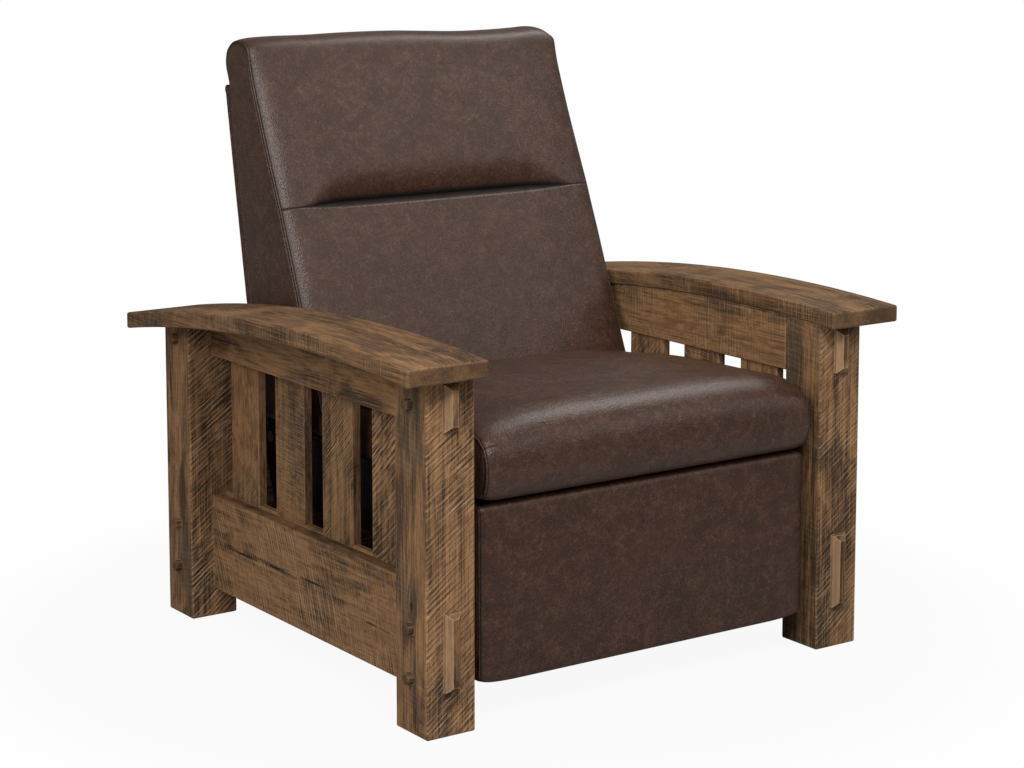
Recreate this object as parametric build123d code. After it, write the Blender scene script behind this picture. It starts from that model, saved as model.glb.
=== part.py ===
"""Wall hugger recliner with a rough-sawn timber frame and leather upholstery.

Millimetres. +Z is up and the chair faces -Y, with +X on the viewer's right.
The origin is on the floor, under the middle of the chair's bounding box.
A timber frame of posts, rails, slats and arched arms carries two steel tracks.
A seat carriage rolls forward on them while its back leans, and a pair of link
sets under the seat swings the footrest out.
"""
import os
from math import atan2, cos, degrees, hypot, radians, sin, sqrt

from build123d import *

# Timber frame
POST = 88.9
POST_EDGE = 3.5
INNER_WIDTH = 698.0
ARM_LENGTH = 929.0
ARM_WIDTH = 145.4
ARM_THICK = 28.2
ARM_EDGE = 4.0
ARM_PEAK_Z = 596.5
ARM_PEAK_FROM_FRONT = 275.0
ARM_RADIUS = 3700.0
ARM_INNER_LAP = 3.4
ARM_FRONT_OVERHANG = 34.0
ARM_BACK_OVERHANG = 43.0
RAIL_THICK = 44.5
RAIL_EDGE = 2.5
TOP_RAIL_Z = 471.0
LOW_RAIL_Z = 50.0
LOW_RAIL_HEIGHT = 168.0
TENON_THICK = 25.4
TENON_LENGTH = 60.0
TENON_SHOULDER = 13.0
LOW_TENON_SHOULDER = 21.0
SLAT_THICK = 15.9
SLAT_WIDTH = 96.5
SLAT_FIRST_GAP = 25.4
SLAT_END_GAP = 82.2
SLAT_COUNT = 4
SLAT_EDGE = 1.6
SLAT_LIP = 3.2
GROOVE_DEPTH = 10.0
FILLER_PROUD = 4.0
FILLER_EDGE = 3.0
CAP_WIDTH = 27.5
CAP_PROUD = 14.0
CAP_SEAT = 12.0
CAP_BEVEL = 8.5
UPPER_CAP_HEIGHT = 73.0
UPPER_CAP_DROP = 10.4
LOWER_CAP_HEIGHT = 125.0
LOWER_CAP_Z = 71.0
PEG_RADIUS = 9.5
PEG_PROUD = 12.0
PEG_EDGE = 3.0
PEG_CLEARANCE = 0.05
PEG_FRONT_DROP = 47.0
PEG_BACK_DROP = 25.3
PEG_LOW_HIGH_Z = 167.0
PEG_LOW_LOW_Z = 89.0
BACK_RAIL_THICK = 25.4
BACK_RAIL_HEIGHT = 300.0
BACK_RAIL_INSET = 43.0
STRETCHER_THICK = 38.0
STRETCHER_HEIGHT = 89.0
STRETCHER_BEHIND_POST = 98.6

# Slide tracks and rollers
TRACK_WALL = 2.5
TRACK_DEPTH = 18.0
TRACK_BELOW_RAIL_TOP = 28.0
TRACK_FRONT_GAP = 6.0
TRACK_BACK_Y = 240.0
ROLLER_RADIUS = 12.25
ROLLER_WIDTH = 9.0
ROLLER_CLEARANCE = 0.3
ROLLER_INSET = 7.0
ROLLER_STOP_GAP = 8.35
ROLLER_BACK_Y = 215.0
AXLE_RADIUS = 4.0
AXLE_HEAD_RADIUS = 7.0
AXLE_HEAD = 1.5
SEAT_TRAVEL = 150.0
SCREW_RADIUS = 4.5
SCREW_HEAD = 1.6
SCREW_SHANK_RADIUS = 2.2
SCREW_LENGTH = 22.0
SCREW_END_MARGIN = 30.0
TRACK_SCREWS = 4

# Seat carriage
PLATE_THICK = 3.0
PLATE_SETBACK = 33.0
PLATE_TOP_Z = 352.0
PLATE_FRONT_Y = -328.0
PLATE_BACK_Y = 276.0
PLATE_WAIST_Z = 232.0
PLATE_LOBE = 15.0
PLATE_LOBE_RUN = 42.0
PLATE_NOSE_RUN = 60.0
PLATE_TAIL_DROP = 42.0
PLATE_CORNER = 9.0
SEAT_DECK_Z = 358.0
SEAT_RAIL_THICK = 25.0
SEAT_RAIL_HEIGHT = 40.0
SEAT_RAIL_EDGE = 1.5
SEAT_FRONT_RAIL_Y = -345.0
SEAT_BACK_RAIL_Y = 215.0
NOSE_BOARD_THICK = 9.0
NOSE_BOARD_REACH = 52.0
WIRE = 4.0
SEAT_SPRINGS = 5
SPRING_SWING = 21.0
SPRING_PITCH = 30.0
SPRING_SEAT = 14.0
TIE_TUBE_RADIUS = 9.5
TIE_TUBE_WALL = 1.6
FRONT_TIE_Y = -150.0
BACK_TIE_Y = 190.0
TIE_Z = 275.0

# Back
BACK_PIVOT_Y = 256.0
BACK_PIVOT_Z = 330.0
BACK_SLOPE_DEGREES = 9.8
STILE_THICK = 22.0
STILE_WIDTH = 45.0
STILE_BELOW_PIVOT = 24.0
STILE_ABOVE_PIVOT = 604.0
BACK_RAIL_WIDTH = 60.0
BACK_LOW_RAIL_RISE = 80.0
BACK_BRACKET_RISE = 130.0
BACK_BRACKET_WIDTH = 20.0
BACK_SPRINGS = 4
PIVOT_RADIUS = 6.0
PIVOT_HEAD_RADIUS = 9.5
PIVOT_HEAD = 1.0
PIVOT_BOSS = 14.0

# Footrest links, as seen from the side: forward distance and height
LINK_THICK = 3.0
LINK_GAP = 1.2
LINK_WIDTH = 17.0
LINK_CLEARANCE = 0.05
PIN_RADIUS = 3.5
PIN_HEAD_RADIUS = 5.5
PIN_HEAD = 0.9
OPEN_PIVOT_PLAY = 1.4
INNER_PIVOT_FORWARD = 305.0
INNER_PIVOT_Z = 298.0
INNER_LENGTH = 178.5
INNER_DEGREES = -99.8
OUTER_LENGTH = 128.5
OUTER_DEGREES = 61.5
OUTER_TAIL = 34.8
OUTER_TAIL_DEGREES = 265.0
REAR_CONTROL_FORWARD = 300.2
REAR_CONTROL_Z = 256.5
FRONT_CONTROL_SETBACK = 37.7
BRACKET_ARM_FORWARD = 4.1
BRACKET_ARM_RISE = 36.9
TORQUE_TUBE_DOWN = 60.0
BRACKET_LEG = 40.0
BRACKET_MARGIN = 11.0

# Footrest
FOOT_FRONT_Y = -414.0
FOOT_THICK = 60.0
FOOT_SIDE_GAP = 18.0
FOOT_LOW_Z = 61.0
FOOT_HIGH_Z = 345.0
FOOT_CROWN = 4.0
FOOT_EDGE = 22.0
FOOT_SIDE_INSET = 7.0
FOOT_BOARD_THICK = 15.0
FOOT_BOARD_MARGIN = 9.0

# Seat cushion
SEAT_SIDE_GAP = 23.0
SEAT_NOSE_Y = -431.0
SEAT_NOSE_Z = 423.0
SEAT_NOSE_TUCK = 30.0
SEAT_NOSE_RUN = 44.0
SEAT_TOP_Z = 487.0
SEAT_MID_Z = 489.0
SEAT_REAR_Z = 461.0
SEAT_SIDE_DROP = 21.0
SEAT_SIDE_INSET = 7.0
SEAT_REAR_LOW_Y = 26.0
SEAT_REAR_TOP_Y = 60.0

# Back cushion
BACK_SIDE_GAP = 23.0
BACK_FOOT_Z = 366.0
BACK_FOOT_Y = 50.0
BACK_SEAM_Z = 740.0
BACK_SEAM_Y = 195.0
BACK_CREASE_DEPTH = 26.0
BACK_BROW_Y = 281.0
BACK_BROW_Z = 922.0
BACK_TOP_Y = 331.0
BACK_TOP_Z = 1028.0
BACK_TOP_FALL = 5.0
BACK_CROWN_Y = 306.0
BACK_CROWN_Z = 1006.0
BACK_REAR_FALL = 44.0
BACK_REAR_PROUD = 9.0
BACK_NECK_RISE = 13.0
BACK_NECK_BOW = 3.0
BACK_BULGE = 10.0
BACK_HEAD_BULGE = 15.0
BACK_SIDE_INSET = 5.0
BACK_CROWN_BOW = 2.5
BACK_TOP_BOW = 14.0
BACK_CREASE_INSET = 96.0
BACK_CREASE_RUN = 46.0
OUTSIDE_THICK = 14.0
OUTSIDE_SIDE_INSET = 1.0
OUTSIDE_ROLL = 9.5
OUTSIDE_TOP_FALL = 92.0
OUTSIDE_EDGE = 4.0
OUTSIDE_LOW_RISE = 34.0
SKIRT_SIDE_INSET = 4.0
SKIRT_FALL = 164.0
SKIRT_EDGE = 3.0

# Shares and other derived places
HALF = 0.5
SPRING_CORNER_SHARE = 0.25
BOW_SHARE = 0.17
EDGE_BULGE_SHARE = 0.4
STATION_SHARES = (1, 0.985, 0.955, 0.9, 0.75, 0.4, 0)
CORNER_POWER = 36
CROWN_POWER = 5
ARM_FRONT_Y = -ARM_LENGTH / 2
FRONT_Y = ARM_FRONT_Y + ARM_FRONT_OVERHANG
BACK_Y = ARM_LENGTH / 2 - ARM_BACK_OVERHANG
POST_IN_X = INNER_WIDTH / 2
POST_OUT_X = POST_IN_X + POST
PLATE_X = POST_IN_X - PLATE_SETBACK
SEAT_HALF_WIDTH = POST_IN_X - SEAT_SIDE_GAP
FOOT_HALF_WIDTH = POST_IN_X - FOOT_SIDE_GAP
BACK_HALF_WIDTH = POST_IN_X - BACK_SIDE_GAP
BACK_REAR_TOP_Z = BACK_TOP_Z - BACK_REAR_FALL
OUTSIDE_TOP_Z = BACK_TOP_Z - OUTSIDE_TOP_FALL
BACK_CREASE_HALF_WIDTH = BACK_HALF_WIDTH - BACK_CREASE_INSET
OUTSIDE_HALF_WIDTH = BACK_HALF_WIDTH - OUTSIDE_SIDE_INSET
RAIL_FRONT_Y = FRONT_Y + POST
RAIL_BACK_Y = BACK_Y - POST
ROLLER_FRONT_Y = RAIL_FRONT_Y + TRACK_FRONT_GAP + ROLLER_STOP_GAP + ROLLER_RADIUS + SEAT_TRAVEL
RAIL_OUT_X = POST_IN_X + RAIL_THICK
SLAT_RUN = RAIL_BACK_Y - RAIL_FRONT_Y - SLAT_WIDTH - SLAT_FIRST_GAP - SLAT_END_GAP
SLAT_PITCH = SLAT_RUN / (SLAT_COUNT - 1)
TENON_IN_X = POST_IN_X + (RAIL_THICK - TENON_THICK) / 2
LOW_RAIL_TOP_Z = LOW_RAIL_Z + LOW_RAIL_HEIGHT
TRACK_Z = LOW_RAIL_TOP_Z - TRACK_BELOW_RAIL_TOP
SLAT_IN_X = POST_IN_X + SLAT_LIP
SLAT_OUT_X = SLAT_IN_X + SLAT_THICK
LAYER = LINK_THICK + LINK_GAP
REAR_CONTROL_X = PLATE_X + LAYER
INNER_X = PLATE_X - LAYER
OUTER_X = INNER_X - LAYER
FRONT_CONTROL_X = OUTER_X - LAYER
BRACKET_X = FRONT_CONTROL_X - LAYER
FOOT_BACK_Y = FOOT_FRONT_Y + FOOT_THICK
SLOPE = radians(BACK_SLOPE_DEGREES)


def from_pivot(point, length, angle):
    """Point at a distance and an angle, in the side view's forward and height."""
    return (point[0] + length * cos(radians(angle)), point[1] + length * sin(radians(angle)))


INNER_PIVOT = (INNER_PIVOT_FORWARD, INNER_PIVOT_Z)
KNEE = from_pivot(INNER_PIVOT, INNER_LENGTH, INNER_DEGREES)
FOOT_PIVOT = from_pivot(KNEE, OUTER_LENGTH, OUTER_DEGREES)
TAIL = from_pivot(KNEE, OUTER_TAIL, OUTER_TAIL_DEGREES)
REAR_CONTROL = (REAR_CONTROL_FORWARD, REAR_CONTROL_Z)
FRONT_CONTROL = from_pivot(KNEE, -FRONT_CONTROL_SETBACK, INNER_DEGREES)
FOOT_CONTROL = (FOOT_PIVOT[0] + BRACKET_ARM_FORWARD, FOOT_PIVOT[1] + BRACKET_ARM_RISE)
TORQUE_TUBE = from_pivot(INNER_PIVOT, TORQUE_TUBE_DOWN, INNER_DEGREES)


def block(x0, x1, y0, y1, z0, z1):
    """Rectangular solid between two corners."""
    centre = Pos((x0 + x1) / 2, (y0 + y1) / 2, (z0 + z1) / 2)
    return centre * Box(abs(x1 - x0), abs(y1 - y0), abs(z1 - z0))


def side_solid(outline, x0, x1):
    """Extrude an outline drawn in Y and Z from one X to another."""
    return extrude(Plane.YZ.offset(min(x0, x1)) * make_face(outline), abs(x1 - x0))


def bar(x0, x1, y, z, radius):
    """Round bar along X."""
    return Pos((x0 + x1) / 2, y, z) * Rot(0, 90, 0) * Cylinder(radius, abs(x1 - x0))


def both(shape):
    """A piece of the right side with its mirror image on the left."""
    return Compound(children=[*shape.solids(), *mirror(shape, about=Plane.YZ).solids()])


def ease(shape, size):
    """Round every edge of a sawn piece."""
    return fillet(shape.edges(), size)


def save(name, shape):
    """Write one piece, named as its file."""
    shape.label = name
    export_step(shape, f"parts/{name}.step")


def save_sides(name, right):
    """Write a piece of the right side and its mirror image."""
    save(f"{name}_right", right)
    save(f"{name}_left", mirror(right, about=Plane.YZ))


def arch_z(y, depth):
    """Height of the arm's arched face, at a depth below its top."""
    reach = y - ARM_FRONT_Y - ARM_PEAK_FROM_FRONT
    radius = ARM_RADIUS - depth
    return ARM_PEAK_Z - ARM_RADIUS + sqrt(radius**2 - reach**2)


def arch(y0, y1, depth):
    """Arc along the arm's arched face."""
    middle = (y0 + y1) / 2
    ends = [(y, arch_z(y, depth)) for y in (y0, middle, y1)]
    return ThreePointArc(*ends)


def arch_outline(y0, y1, depth, low):
    """Outline from a level underside up to the arch."""
    top = arch(y0, y1, depth)
    walls = Polyline((y0, arch_z(y0, depth)), (y0, low), (y1, low), (y1, arch_z(y1, depth)))
    return top + walls


def arm():
    """Arched arm board."""
    front, back = ARM_FRONT_Y, -ARM_FRONT_Y
    ends = Line((front, arch_z(front, 0)), (front, arch_z(front, ARM_THICK)))
    ends += Line((back, arch_z(back, 0)), (back, arch_z(back, ARM_THICK)))
    outline = arch(front, back, 0) + arch(front, back, ARM_THICK) + ends
    inner = POST_IN_X - ARM_INNER_LAP
    return ease(side_solid(outline, inner, inner + ARM_WIDTH), ARM_EDGE)


def tenon_height(y, low):
    """Top of a tenon at one place along the rail that starts at this height."""
    if low > LOW_RAIL_TOP_Z:
        return arch_z(y, ARM_THICK) - TENON_SHOULDER
    return LOW_RAIL_TOP_Z - LOW_TENON_SHOULDER


def tenon(y0, y1, low):
    """Tenon box of a rail end, used for the rail and for its mortise."""
    bottom = low + (TENON_SHOULDER if low > LOW_RAIL_TOP_Z else LOW_TENON_SHOULDER)
    top = min(tenon_height(y0, low), tenon_height(y1, low))
    return block(TENON_IN_X, TENON_IN_X + TENON_THICK, y0, y1, bottom, top)


def rail_tenons(low):
    """Both tenons of a side rail."""
    front = tenon(RAIL_FRONT_Y - TENON_LENGTH, RAIL_FRONT_Y, low)
    return front, tenon(RAIL_BACK_Y, RAIL_BACK_Y + TENON_LENGTH, low)


def peg_places():
    """Y and Z of each peg on one side."""
    front, back = FRONT_Y + POST / 2, BACK_Y - POST / 2
    upper = [(front, PEG_FRONT_DROP), (back, PEG_BACK_DROP)]
    places = [(y, arch_z(y, ARM_THICK) - drop) for y, drop in upper]
    for y in (front, back):
        places += [(y, PEG_LOW_HIGH_Z), (y, PEG_LOW_LOW_Z)]
    return places


def peg(y, z):
    """Round peg through the post's cheek and the tenon."""
    stick = bar(TENON_IN_X, POST_OUT_X + PEG_PROUD, y, z, PEG_RADIUS)
    end = stick.edges().group_by(Axis.X)[-1]
    return fillet(end, PEG_EDGE)


def peg_holes():
    """Holes for every peg of one side."""
    radius = PEG_RADIUS + PEG_CLEARANCE
    return [bar(TENON_IN_X, POST_OUT_X + PEG_PROUD, y, z, radius) for y, z in peg_places()]


def cap(z, height, bevel):
    """Tenon end that stands out of the front post, on the post's middle."""
    middle = (POST_IN_X + POST_OUT_X) / 2
    left, right = middle - CAP_WIDTH / 2, middle + CAP_WIDTH / 2
    piece = block(left, right, FRONT_Y - CAP_PROUD, FRONT_Y + CAP_SEAT, z, z + height)
    if bevel:
        piece = chamfer(piece.faces().sort_by(Axis.Y)[0].edges(), bevel)
    return piece


def post(y0, holes):
    """Post with its top cut to the arch."""
    stock = side_solid(arch_outline(y0, y0 + POST, ARM_THICK, 0), POST_IN_X, POST_OUT_X)
    stock = fillet(stock.edges().filter_by(Axis.Z) + stock.edges().group_by(Axis.Z)[0], POST_EDGE)
    return stock - holes


def top_rail():
    """Upper side rail under the arm, grooved for the slats."""
    outline = arch_outline(RAIL_FRONT_Y, RAIL_BACK_Y, ARM_THICK, TOP_RAIL_Z)
    rail = side_solid(outline, POST_IN_X, RAIL_OUT_X)
    rail = fillet(rail.edges().group_by(Axis.Z)[0].filter_by(Axis.Y), RAIL_EDGE)
    roof = TOP_RAIL_Z + GROOVE_DEPTH
    groove = block(SLAT_IN_X, SLAT_OUT_X, RAIL_FRONT_Y, RAIL_BACK_Y, TOP_RAIL_Z, roof)
    return rail - groove + list(rail_tenons(TOP_RAIL_Z)) - peg_holes()


def low_rail():
    """Lower side rail, grooved for the slats."""
    rail = block(POST_IN_X, RAIL_OUT_X, RAIL_FRONT_Y, RAIL_BACK_Y, LOW_RAIL_Z, LOW_RAIL_TOP_Z)
    rail = fillet(rail.edges().filter_by(Axis.Y), RAIL_EDGE)
    floor = LOW_RAIL_TOP_Z - GROOVE_DEPTH
    groove = block(SLAT_IN_X, SLAT_OUT_X, RAIL_FRONT_Y, RAIL_BACK_Y, floor, LOW_RAIL_TOP_Z)
    screws = [track_screw(y) for y in screw_places()]
    return rail - groove + list(rail_tenons(LOW_RAIL_Z)) - peg_holes() - screws


def slat_starts(side):
    """Lower Y of each slat: the left side counts from the back post, the right from the front."""
    steps = [i * SLAT_PITCH for i in range(SLAT_COUNT)]
    if side == "left":
        return [RAIL_BACK_Y - SLAT_FIRST_GAP - SLAT_WIDTH - step for step in steps]
    return [RAIL_FRONT_Y + SLAT_FIRST_GAP + step for step in steps]


def slat(side, y):
    """Upright slat that stands in both grooves."""
    low, high = LOW_RAIL_TOP_Z - GROOVE_DEPTH, TOP_RAIL_Z + GROOVE_DEPTH
    piece = block(SLAT_IN_X, SLAT_OUT_X, y, y + SLAT_WIDTH, low, high)
    piece = fillet(piece.edges().filter_by(Axis.Z), SLAT_EDGE)
    return mirror(piece, about=Plane.YZ) if side == "left" else piece


def fillers(side):
    """Strips that close the grooves between the slats."""
    starts = sorted(slat_starts(side))
    edges = [RAIL_FRONT_Y] + [y + k for y in starts for k in (0, SLAT_WIDTH)] + [RAIL_BACK_Y]
    gaps = [pair for pair in zip(edges[::2], edges[1::2]) if pair[1] - pair[0] > FILLER_PROUD]
    strips = []
    for y0, y1 in gaps:
        low, high = LOW_RAIL_TOP_Z - GROOVE_DEPTH, LOW_RAIL_TOP_Z + FILLER_PROUD
        lower = block(SLAT_IN_X, SLAT_OUT_X, y0, y1, low, high)
        strips.append(chamfer(lower.edges().group_by(Axis.Z)[-1].filter_by(Axis.Y), FILLER_EDGE))
        strips.append(block(SLAT_IN_X, SLAT_OUT_X, y0, y1, TOP_RAIL_Z, TOP_RAIL_Z + GROOVE_DEPTH))
    if side == "left":
        strips = [mirror(strip, about=Plane.YZ) for strip in strips]
    return strips


def timber_frame():
    """Posts, arms, rails, slats, pegs and tenon ends."""
    holes = peg_holes()
    mortises = [*rail_tenons(TOP_RAIL_Z), *rail_tenons(LOW_RAIL_Z)]
    upper = arch_z(FRONT_Y, ARM_THICK) - UPPER_CAP_DROP - UPPER_CAP_HEIGHT
    seats = [cap(upper, UPPER_CAP_HEIGHT, 0), cap(LOWER_CAP_Z, LOWER_CAP_HEIGHT, 0)]
    save_sides("front_post", post(FRONT_Y, holes + mortises + seats))
    save_sides("back_post", post(BACK_Y - POST, holes + mortises))
    save_sides("arm_board", arm())
    save_sides("top_side_rail", top_rail())
    save_sides("low_side_rail", low_rail())
    for side in ("left", "right"):
        for i, y in enumerate(slat_starts(side)):
            save(f"slat_{side}_{i + 1}", slat(side, y))
    save("groove_fillers", Compound(children=fillers("left") + fillers("right")))
    save("upper_tenon_ends", both(cap(upper, UPPER_CAP_HEIGHT, CAP_BEVEL)))
    save("lower_tenon_ends", both(cap(LOWER_CAP_Z, LOWER_CAP_HEIGHT, CAP_BEVEL)))
    save("frame_pegs", both(Compound(children=[peg(y, z) for y, z in peg_places()])))
    back = BACK_Y - BACK_RAIL_INSET
    high = LOW_RAIL_Z + BACK_RAIL_HEIGHT
    rail = block(-POST_IN_X, POST_IN_X, back - BACK_RAIL_THICK, back, LOW_RAIL_Z, high)
    save("back_rail", fillet(rail.edges().filter_by(Axis.X), RAIL_EDGE))
    front = RAIL_FRONT_Y + STRETCHER_BEHIND_POST
    top = LOW_RAIL_Z + STRETCHER_HEIGHT
    beam = block(-POST_IN_X, POST_IN_X, front, front + STRETCHER_THICK, LOW_RAIL_Z, top)
    save("front_stretcher", fillet(beam.edges().filter_by(Axis.X), RAIL_EDGE))


def track():
    """Steel channel on the inside of the lower side rail."""
    half = ROLLER_RADIUS + ROLLER_CLEARANCE + TRACK_WALL
    y0 = RAIL_FRONT_Y + TRACK_FRONT_GAP
    shell = block(POST_IN_X - TRACK_DEPTH, POST_IN_X, y0, TRACK_BACK_Y, TRACK_Z - half, TRACK_Z + half)
    bore = half - TRACK_WALL
    inside = POST_IN_X - TRACK_WALL
    return shell - block(POST_IN_X - TRACK_DEPTH, inside, y0, TRACK_BACK_Y, TRACK_Z - bore, TRACK_Z + bore)


def screw_places():
    """Y of each track screw."""
    first = RAIL_FRONT_Y + TRACK_FRONT_GAP + SCREW_END_MARGIN
    last = TRACK_BACK_Y - SCREW_END_MARGIN
    return [first + (last - first) * i / (TRACK_SCREWS - 1) for i in range(TRACK_SCREWS)]


def track_screw(y):
    """Flat-headed screw through the track's web."""
    web = POST_IN_X - TRACK_WALL
    head = bar(web - SCREW_HEAD, web, y, TRACK_Z, SCREW_RADIUS)
    return head + bar(web, web + SCREW_LENGTH, y, TRACK_Z, SCREW_SHANK_RADIUS)


def axle(y):
    """Roller axle riveted through the carriage plate."""
    roller_x = POST_IN_X - ROLLER_INSET
    pin = bar(PLATE_X, roller_x + AXLE_HEAD, y, TRACK_Z, AXLE_RADIUS)
    pin += bar(roller_x, roller_x + AXLE_HEAD, y, TRACK_Z, AXLE_HEAD_RADIUS)
    shoulder = roller_x - ROLLER_WIDTH - LINK_CLEARANCE
    return pin + bar(PLATE_X + PLATE_THICK, shoulder, y, TRACK_Z, AXLE_HEAD_RADIUS)


def roller(y):
    """Nylon roller in the track."""
    outer = POST_IN_X - ROLLER_INSET - LINK_CLEARANCE
    inner = outer - ROLLER_WIDTH + LINK_CLEARANCE
    wheel = bar(inner, outer, y, TRACK_Z, ROLLER_RADIUS)
    wheel = fillet(wheel.edges(), ROLLER_CLEARANCE)
    return wheel - bar(inner, outer, y, TRACK_Z, AXLE_RADIUS + LINK_CLEARANCE)


def plate_outline():
    """Outline of the carriage plate: straight top, waist and two roller lobes."""
    low = TRACK_Z - PLATE_LOBE
    waist = PLATE_WAIST_Z
    points = [(PLATE_FRONT_Y, PLATE_TOP_Z), (PLATE_BACK_Y, PLATE_TOP_Z)]
    points += [(PLATE_BACK_Y, PLATE_TOP_Z - PLATE_TAIL_DROP), (ROLLER_BACK_Y + PLATE_LOBE, low)]
    points += [(ROLLER_BACK_Y - PLATE_LOBE, low), (ROLLER_BACK_Y - PLATE_LOBE_RUN, waist)]
    points += [(ROLLER_FRONT_Y + PLATE_LOBE_RUN, waist), (ROLLER_FRONT_Y + PLATE_LOBE, low)]
    points += [(ROLLER_FRONT_Y - PLATE_LOBE, low), (ROLLER_FRONT_Y - PLATE_LOBE_RUN, waist)]
    points += [(PLATE_FRONT_Y + PLATE_NOSE_RUN / 2, waist), (PLATE_FRONT_Y, waist + PLATE_NOSE_RUN / 2)]
    return FilletPolyline(*points, radius=PLATE_CORNER, close=True)


def carriage_plate():
    """Steel side plate that carries the seat rails, rollers, links and back."""
    plate = side_solid(plate_outline(), PLATE_X, PLATE_X + PLATE_THICK)
    outer = PLATE_X + PLATE_THICK
    holes = [bar(PLATE_X, outer, y, TRACK_Z, AXLE_RADIUS) for y in (ROLLER_FRONT_Y, ROLLER_BACK_Y)]
    for forward, z in (INNER_PIVOT, REAR_CONTROL):
        holes.append(bar(PLATE_X, outer, -forward, z, PIN_RADIUS))
    holes.append(bar(PLATE_X, outer, BACK_PIVOT_Y, BACK_PIVOT_Z, PIVOT_RADIUS))
    return plate - holes


def pin(place, x0, x1, head_x, radius, head_radius, head):
    """Rivet along X with one head, the head ending at head_x."""
    shank = bar(x0, x1, -place[0], place[1], radius)
    return shank + bar(head_x, head_x + head, -place[0], place[1], head_radius)


def seat_rail(x0, x1, y0, y1, top):
    """Timber rail of the seat frame."""
    rail = block(x0, x1, y0, y1, SEAT_DECK_Z - SEAT_RAIL_HEIGHT, top)
    long_axis = Axis.Y if y1 - y0 > x1 - x0 else Axis.X
    return fillet(rail.edges().filter_by(long_axis), SEAT_RAIL_EDGE)


def wave(length, swing, pitch):
    """Square-cornered zigzag of spring wire along +Y, centred on X."""
    count = int(length / pitch)
    step = length / count
    chamfered = step * SPRING_CORNER_SHARE
    points = [(0, 0)]
    for i in range(count):
        side = swing if i % 2 == 0 else -swing
        y0, y1 = i * step, (i + 1) * step
        points += [(side * (1 - chamfered / swing), y0), (side, y0 + chamfered)]
        points += [(side, y1 - chamfered), (side * (1 - chamfered / swing), y1)]
    points.append((0, length))
    kept = [points[0]]
    kept += [p for a, p in zip(points, points[1:]) if hypot(p[0] - a[0], p[1] - a[1]) > 0]
    return Polyline(*kept)


def seat_springs():
    """Zigzag springs from the back seat rail to the front one."""
    y0 = SEAT_FRONT_RAIL_Y + SEAT_RAIL_THICK - SPRING_SEAT
    y1 = SEAT_BACK_RAIL_Y - SEAT_RAIL_THICK + SPRING_SEAT
    strip = extrude(trace(wave(y1 - y0, SPRING_SWING, SPRING_PITCH), WIRE), WIRE)
    half = PLATE_X - SEAT_RAIL_THICK
    pitch = 2 * half / SEAT_SPRINGS
    places = [pitch * (i + HALF) - half for i in range(SEAT_SPRINGS)]
    return Compound(children=[Pos(x, y0, SEAT_DECK_Z - WIRE) * strip for x in places])


def tie_tubes():
    """Steel tubes that tie the two carriage plates together."""
    tubes = []
    for y in (FRONT_TIE_Y, BACK_TIE_Y):
        tube = bar(-PLATE_X, PLATE_X, y, TIE_Z, TIE_TUBE_RADIUS)
        tubes.append(tube - bar(-PLATE_X, PLATE_X, y, TIE_Z, TIE_TUBE_RADIUS - TIE_TUBE_WALL))
    return Compound(children=tubes)


def seat_section(x, inset, drop):
    """Side outline of the seat cushion at one place across its width."""
    nose = SEAT_NOSE_Y + inset
    foot = (nose + SEAT_NOSE_TUCK, SEAT_DECK_Z)
    front = (nose, SEAT_NOSE_Z)
    top = (nose + SEAT_NOSE_RUN, SEAT_TOP_Z - drop)
    rear = (SEAT_REAR_TOP_Y - inset, SEAT_REAR_Z - drop)
    low = (SEAT_REAR_LOW_Y - inset, SEAT_DECK_Z)
    outline = Line(low, foot)
    outline += ThreePointArc(foot, bowed(foot, front, -1), front)
    outline += ThreePointArc(front, bowed(front, top, -1), top)
    outline += ThreePointArc(top, ((top[0] + rear[0]) / 2, SEAT_MID_Z - drop), rear)
    outline += Line(rear, low)
    return Plane.YZ.offset(x) * make_face(outline)


def bowed(a, b, side):
    """Middle point of a shallow arc between two points, bowed to one side."""
    middle = ((a[0] + b[0]) / 2, (a[1] + b[1]) / 2)
    run, rise = b[0] - a[0], b[1] - a[1]
    return (middle[0] + side * BOW_SHARE * rise, middle[1] - side * BOW_SHARE * run)


def stations():
    """Shares of the half width at which a cushion's outline is drawn, from side to side."""
    return [-share for share in STATION_SHARES] + list(reversed(STATION_SHARES[:-1]))


def corner(share):
    """How far a cushion's edge is drawn in, from 0 at its middle to 1 at its side."""
    return abs(share) ** CORNER_POWER


def crown(share):
    """How far a cushion's crown has fallen, from 0 at its middle to 1 at its side."""
    return abs(share) ** CROWN_POWER


def seat_cushion():
    """Seat cushion with a rounded nose, a crown and drawn-in sides."""
    sections = []
    for share in stations():
        inset, drop = SEAT_SIDE_INSET * corner(share), SEAT_SIDE_DROP * crown(share)
        sections.append(seat_section(SEAT_HALF_WIDTH * share, inset, drop))
    return loft(sections, ruled=True)


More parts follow.
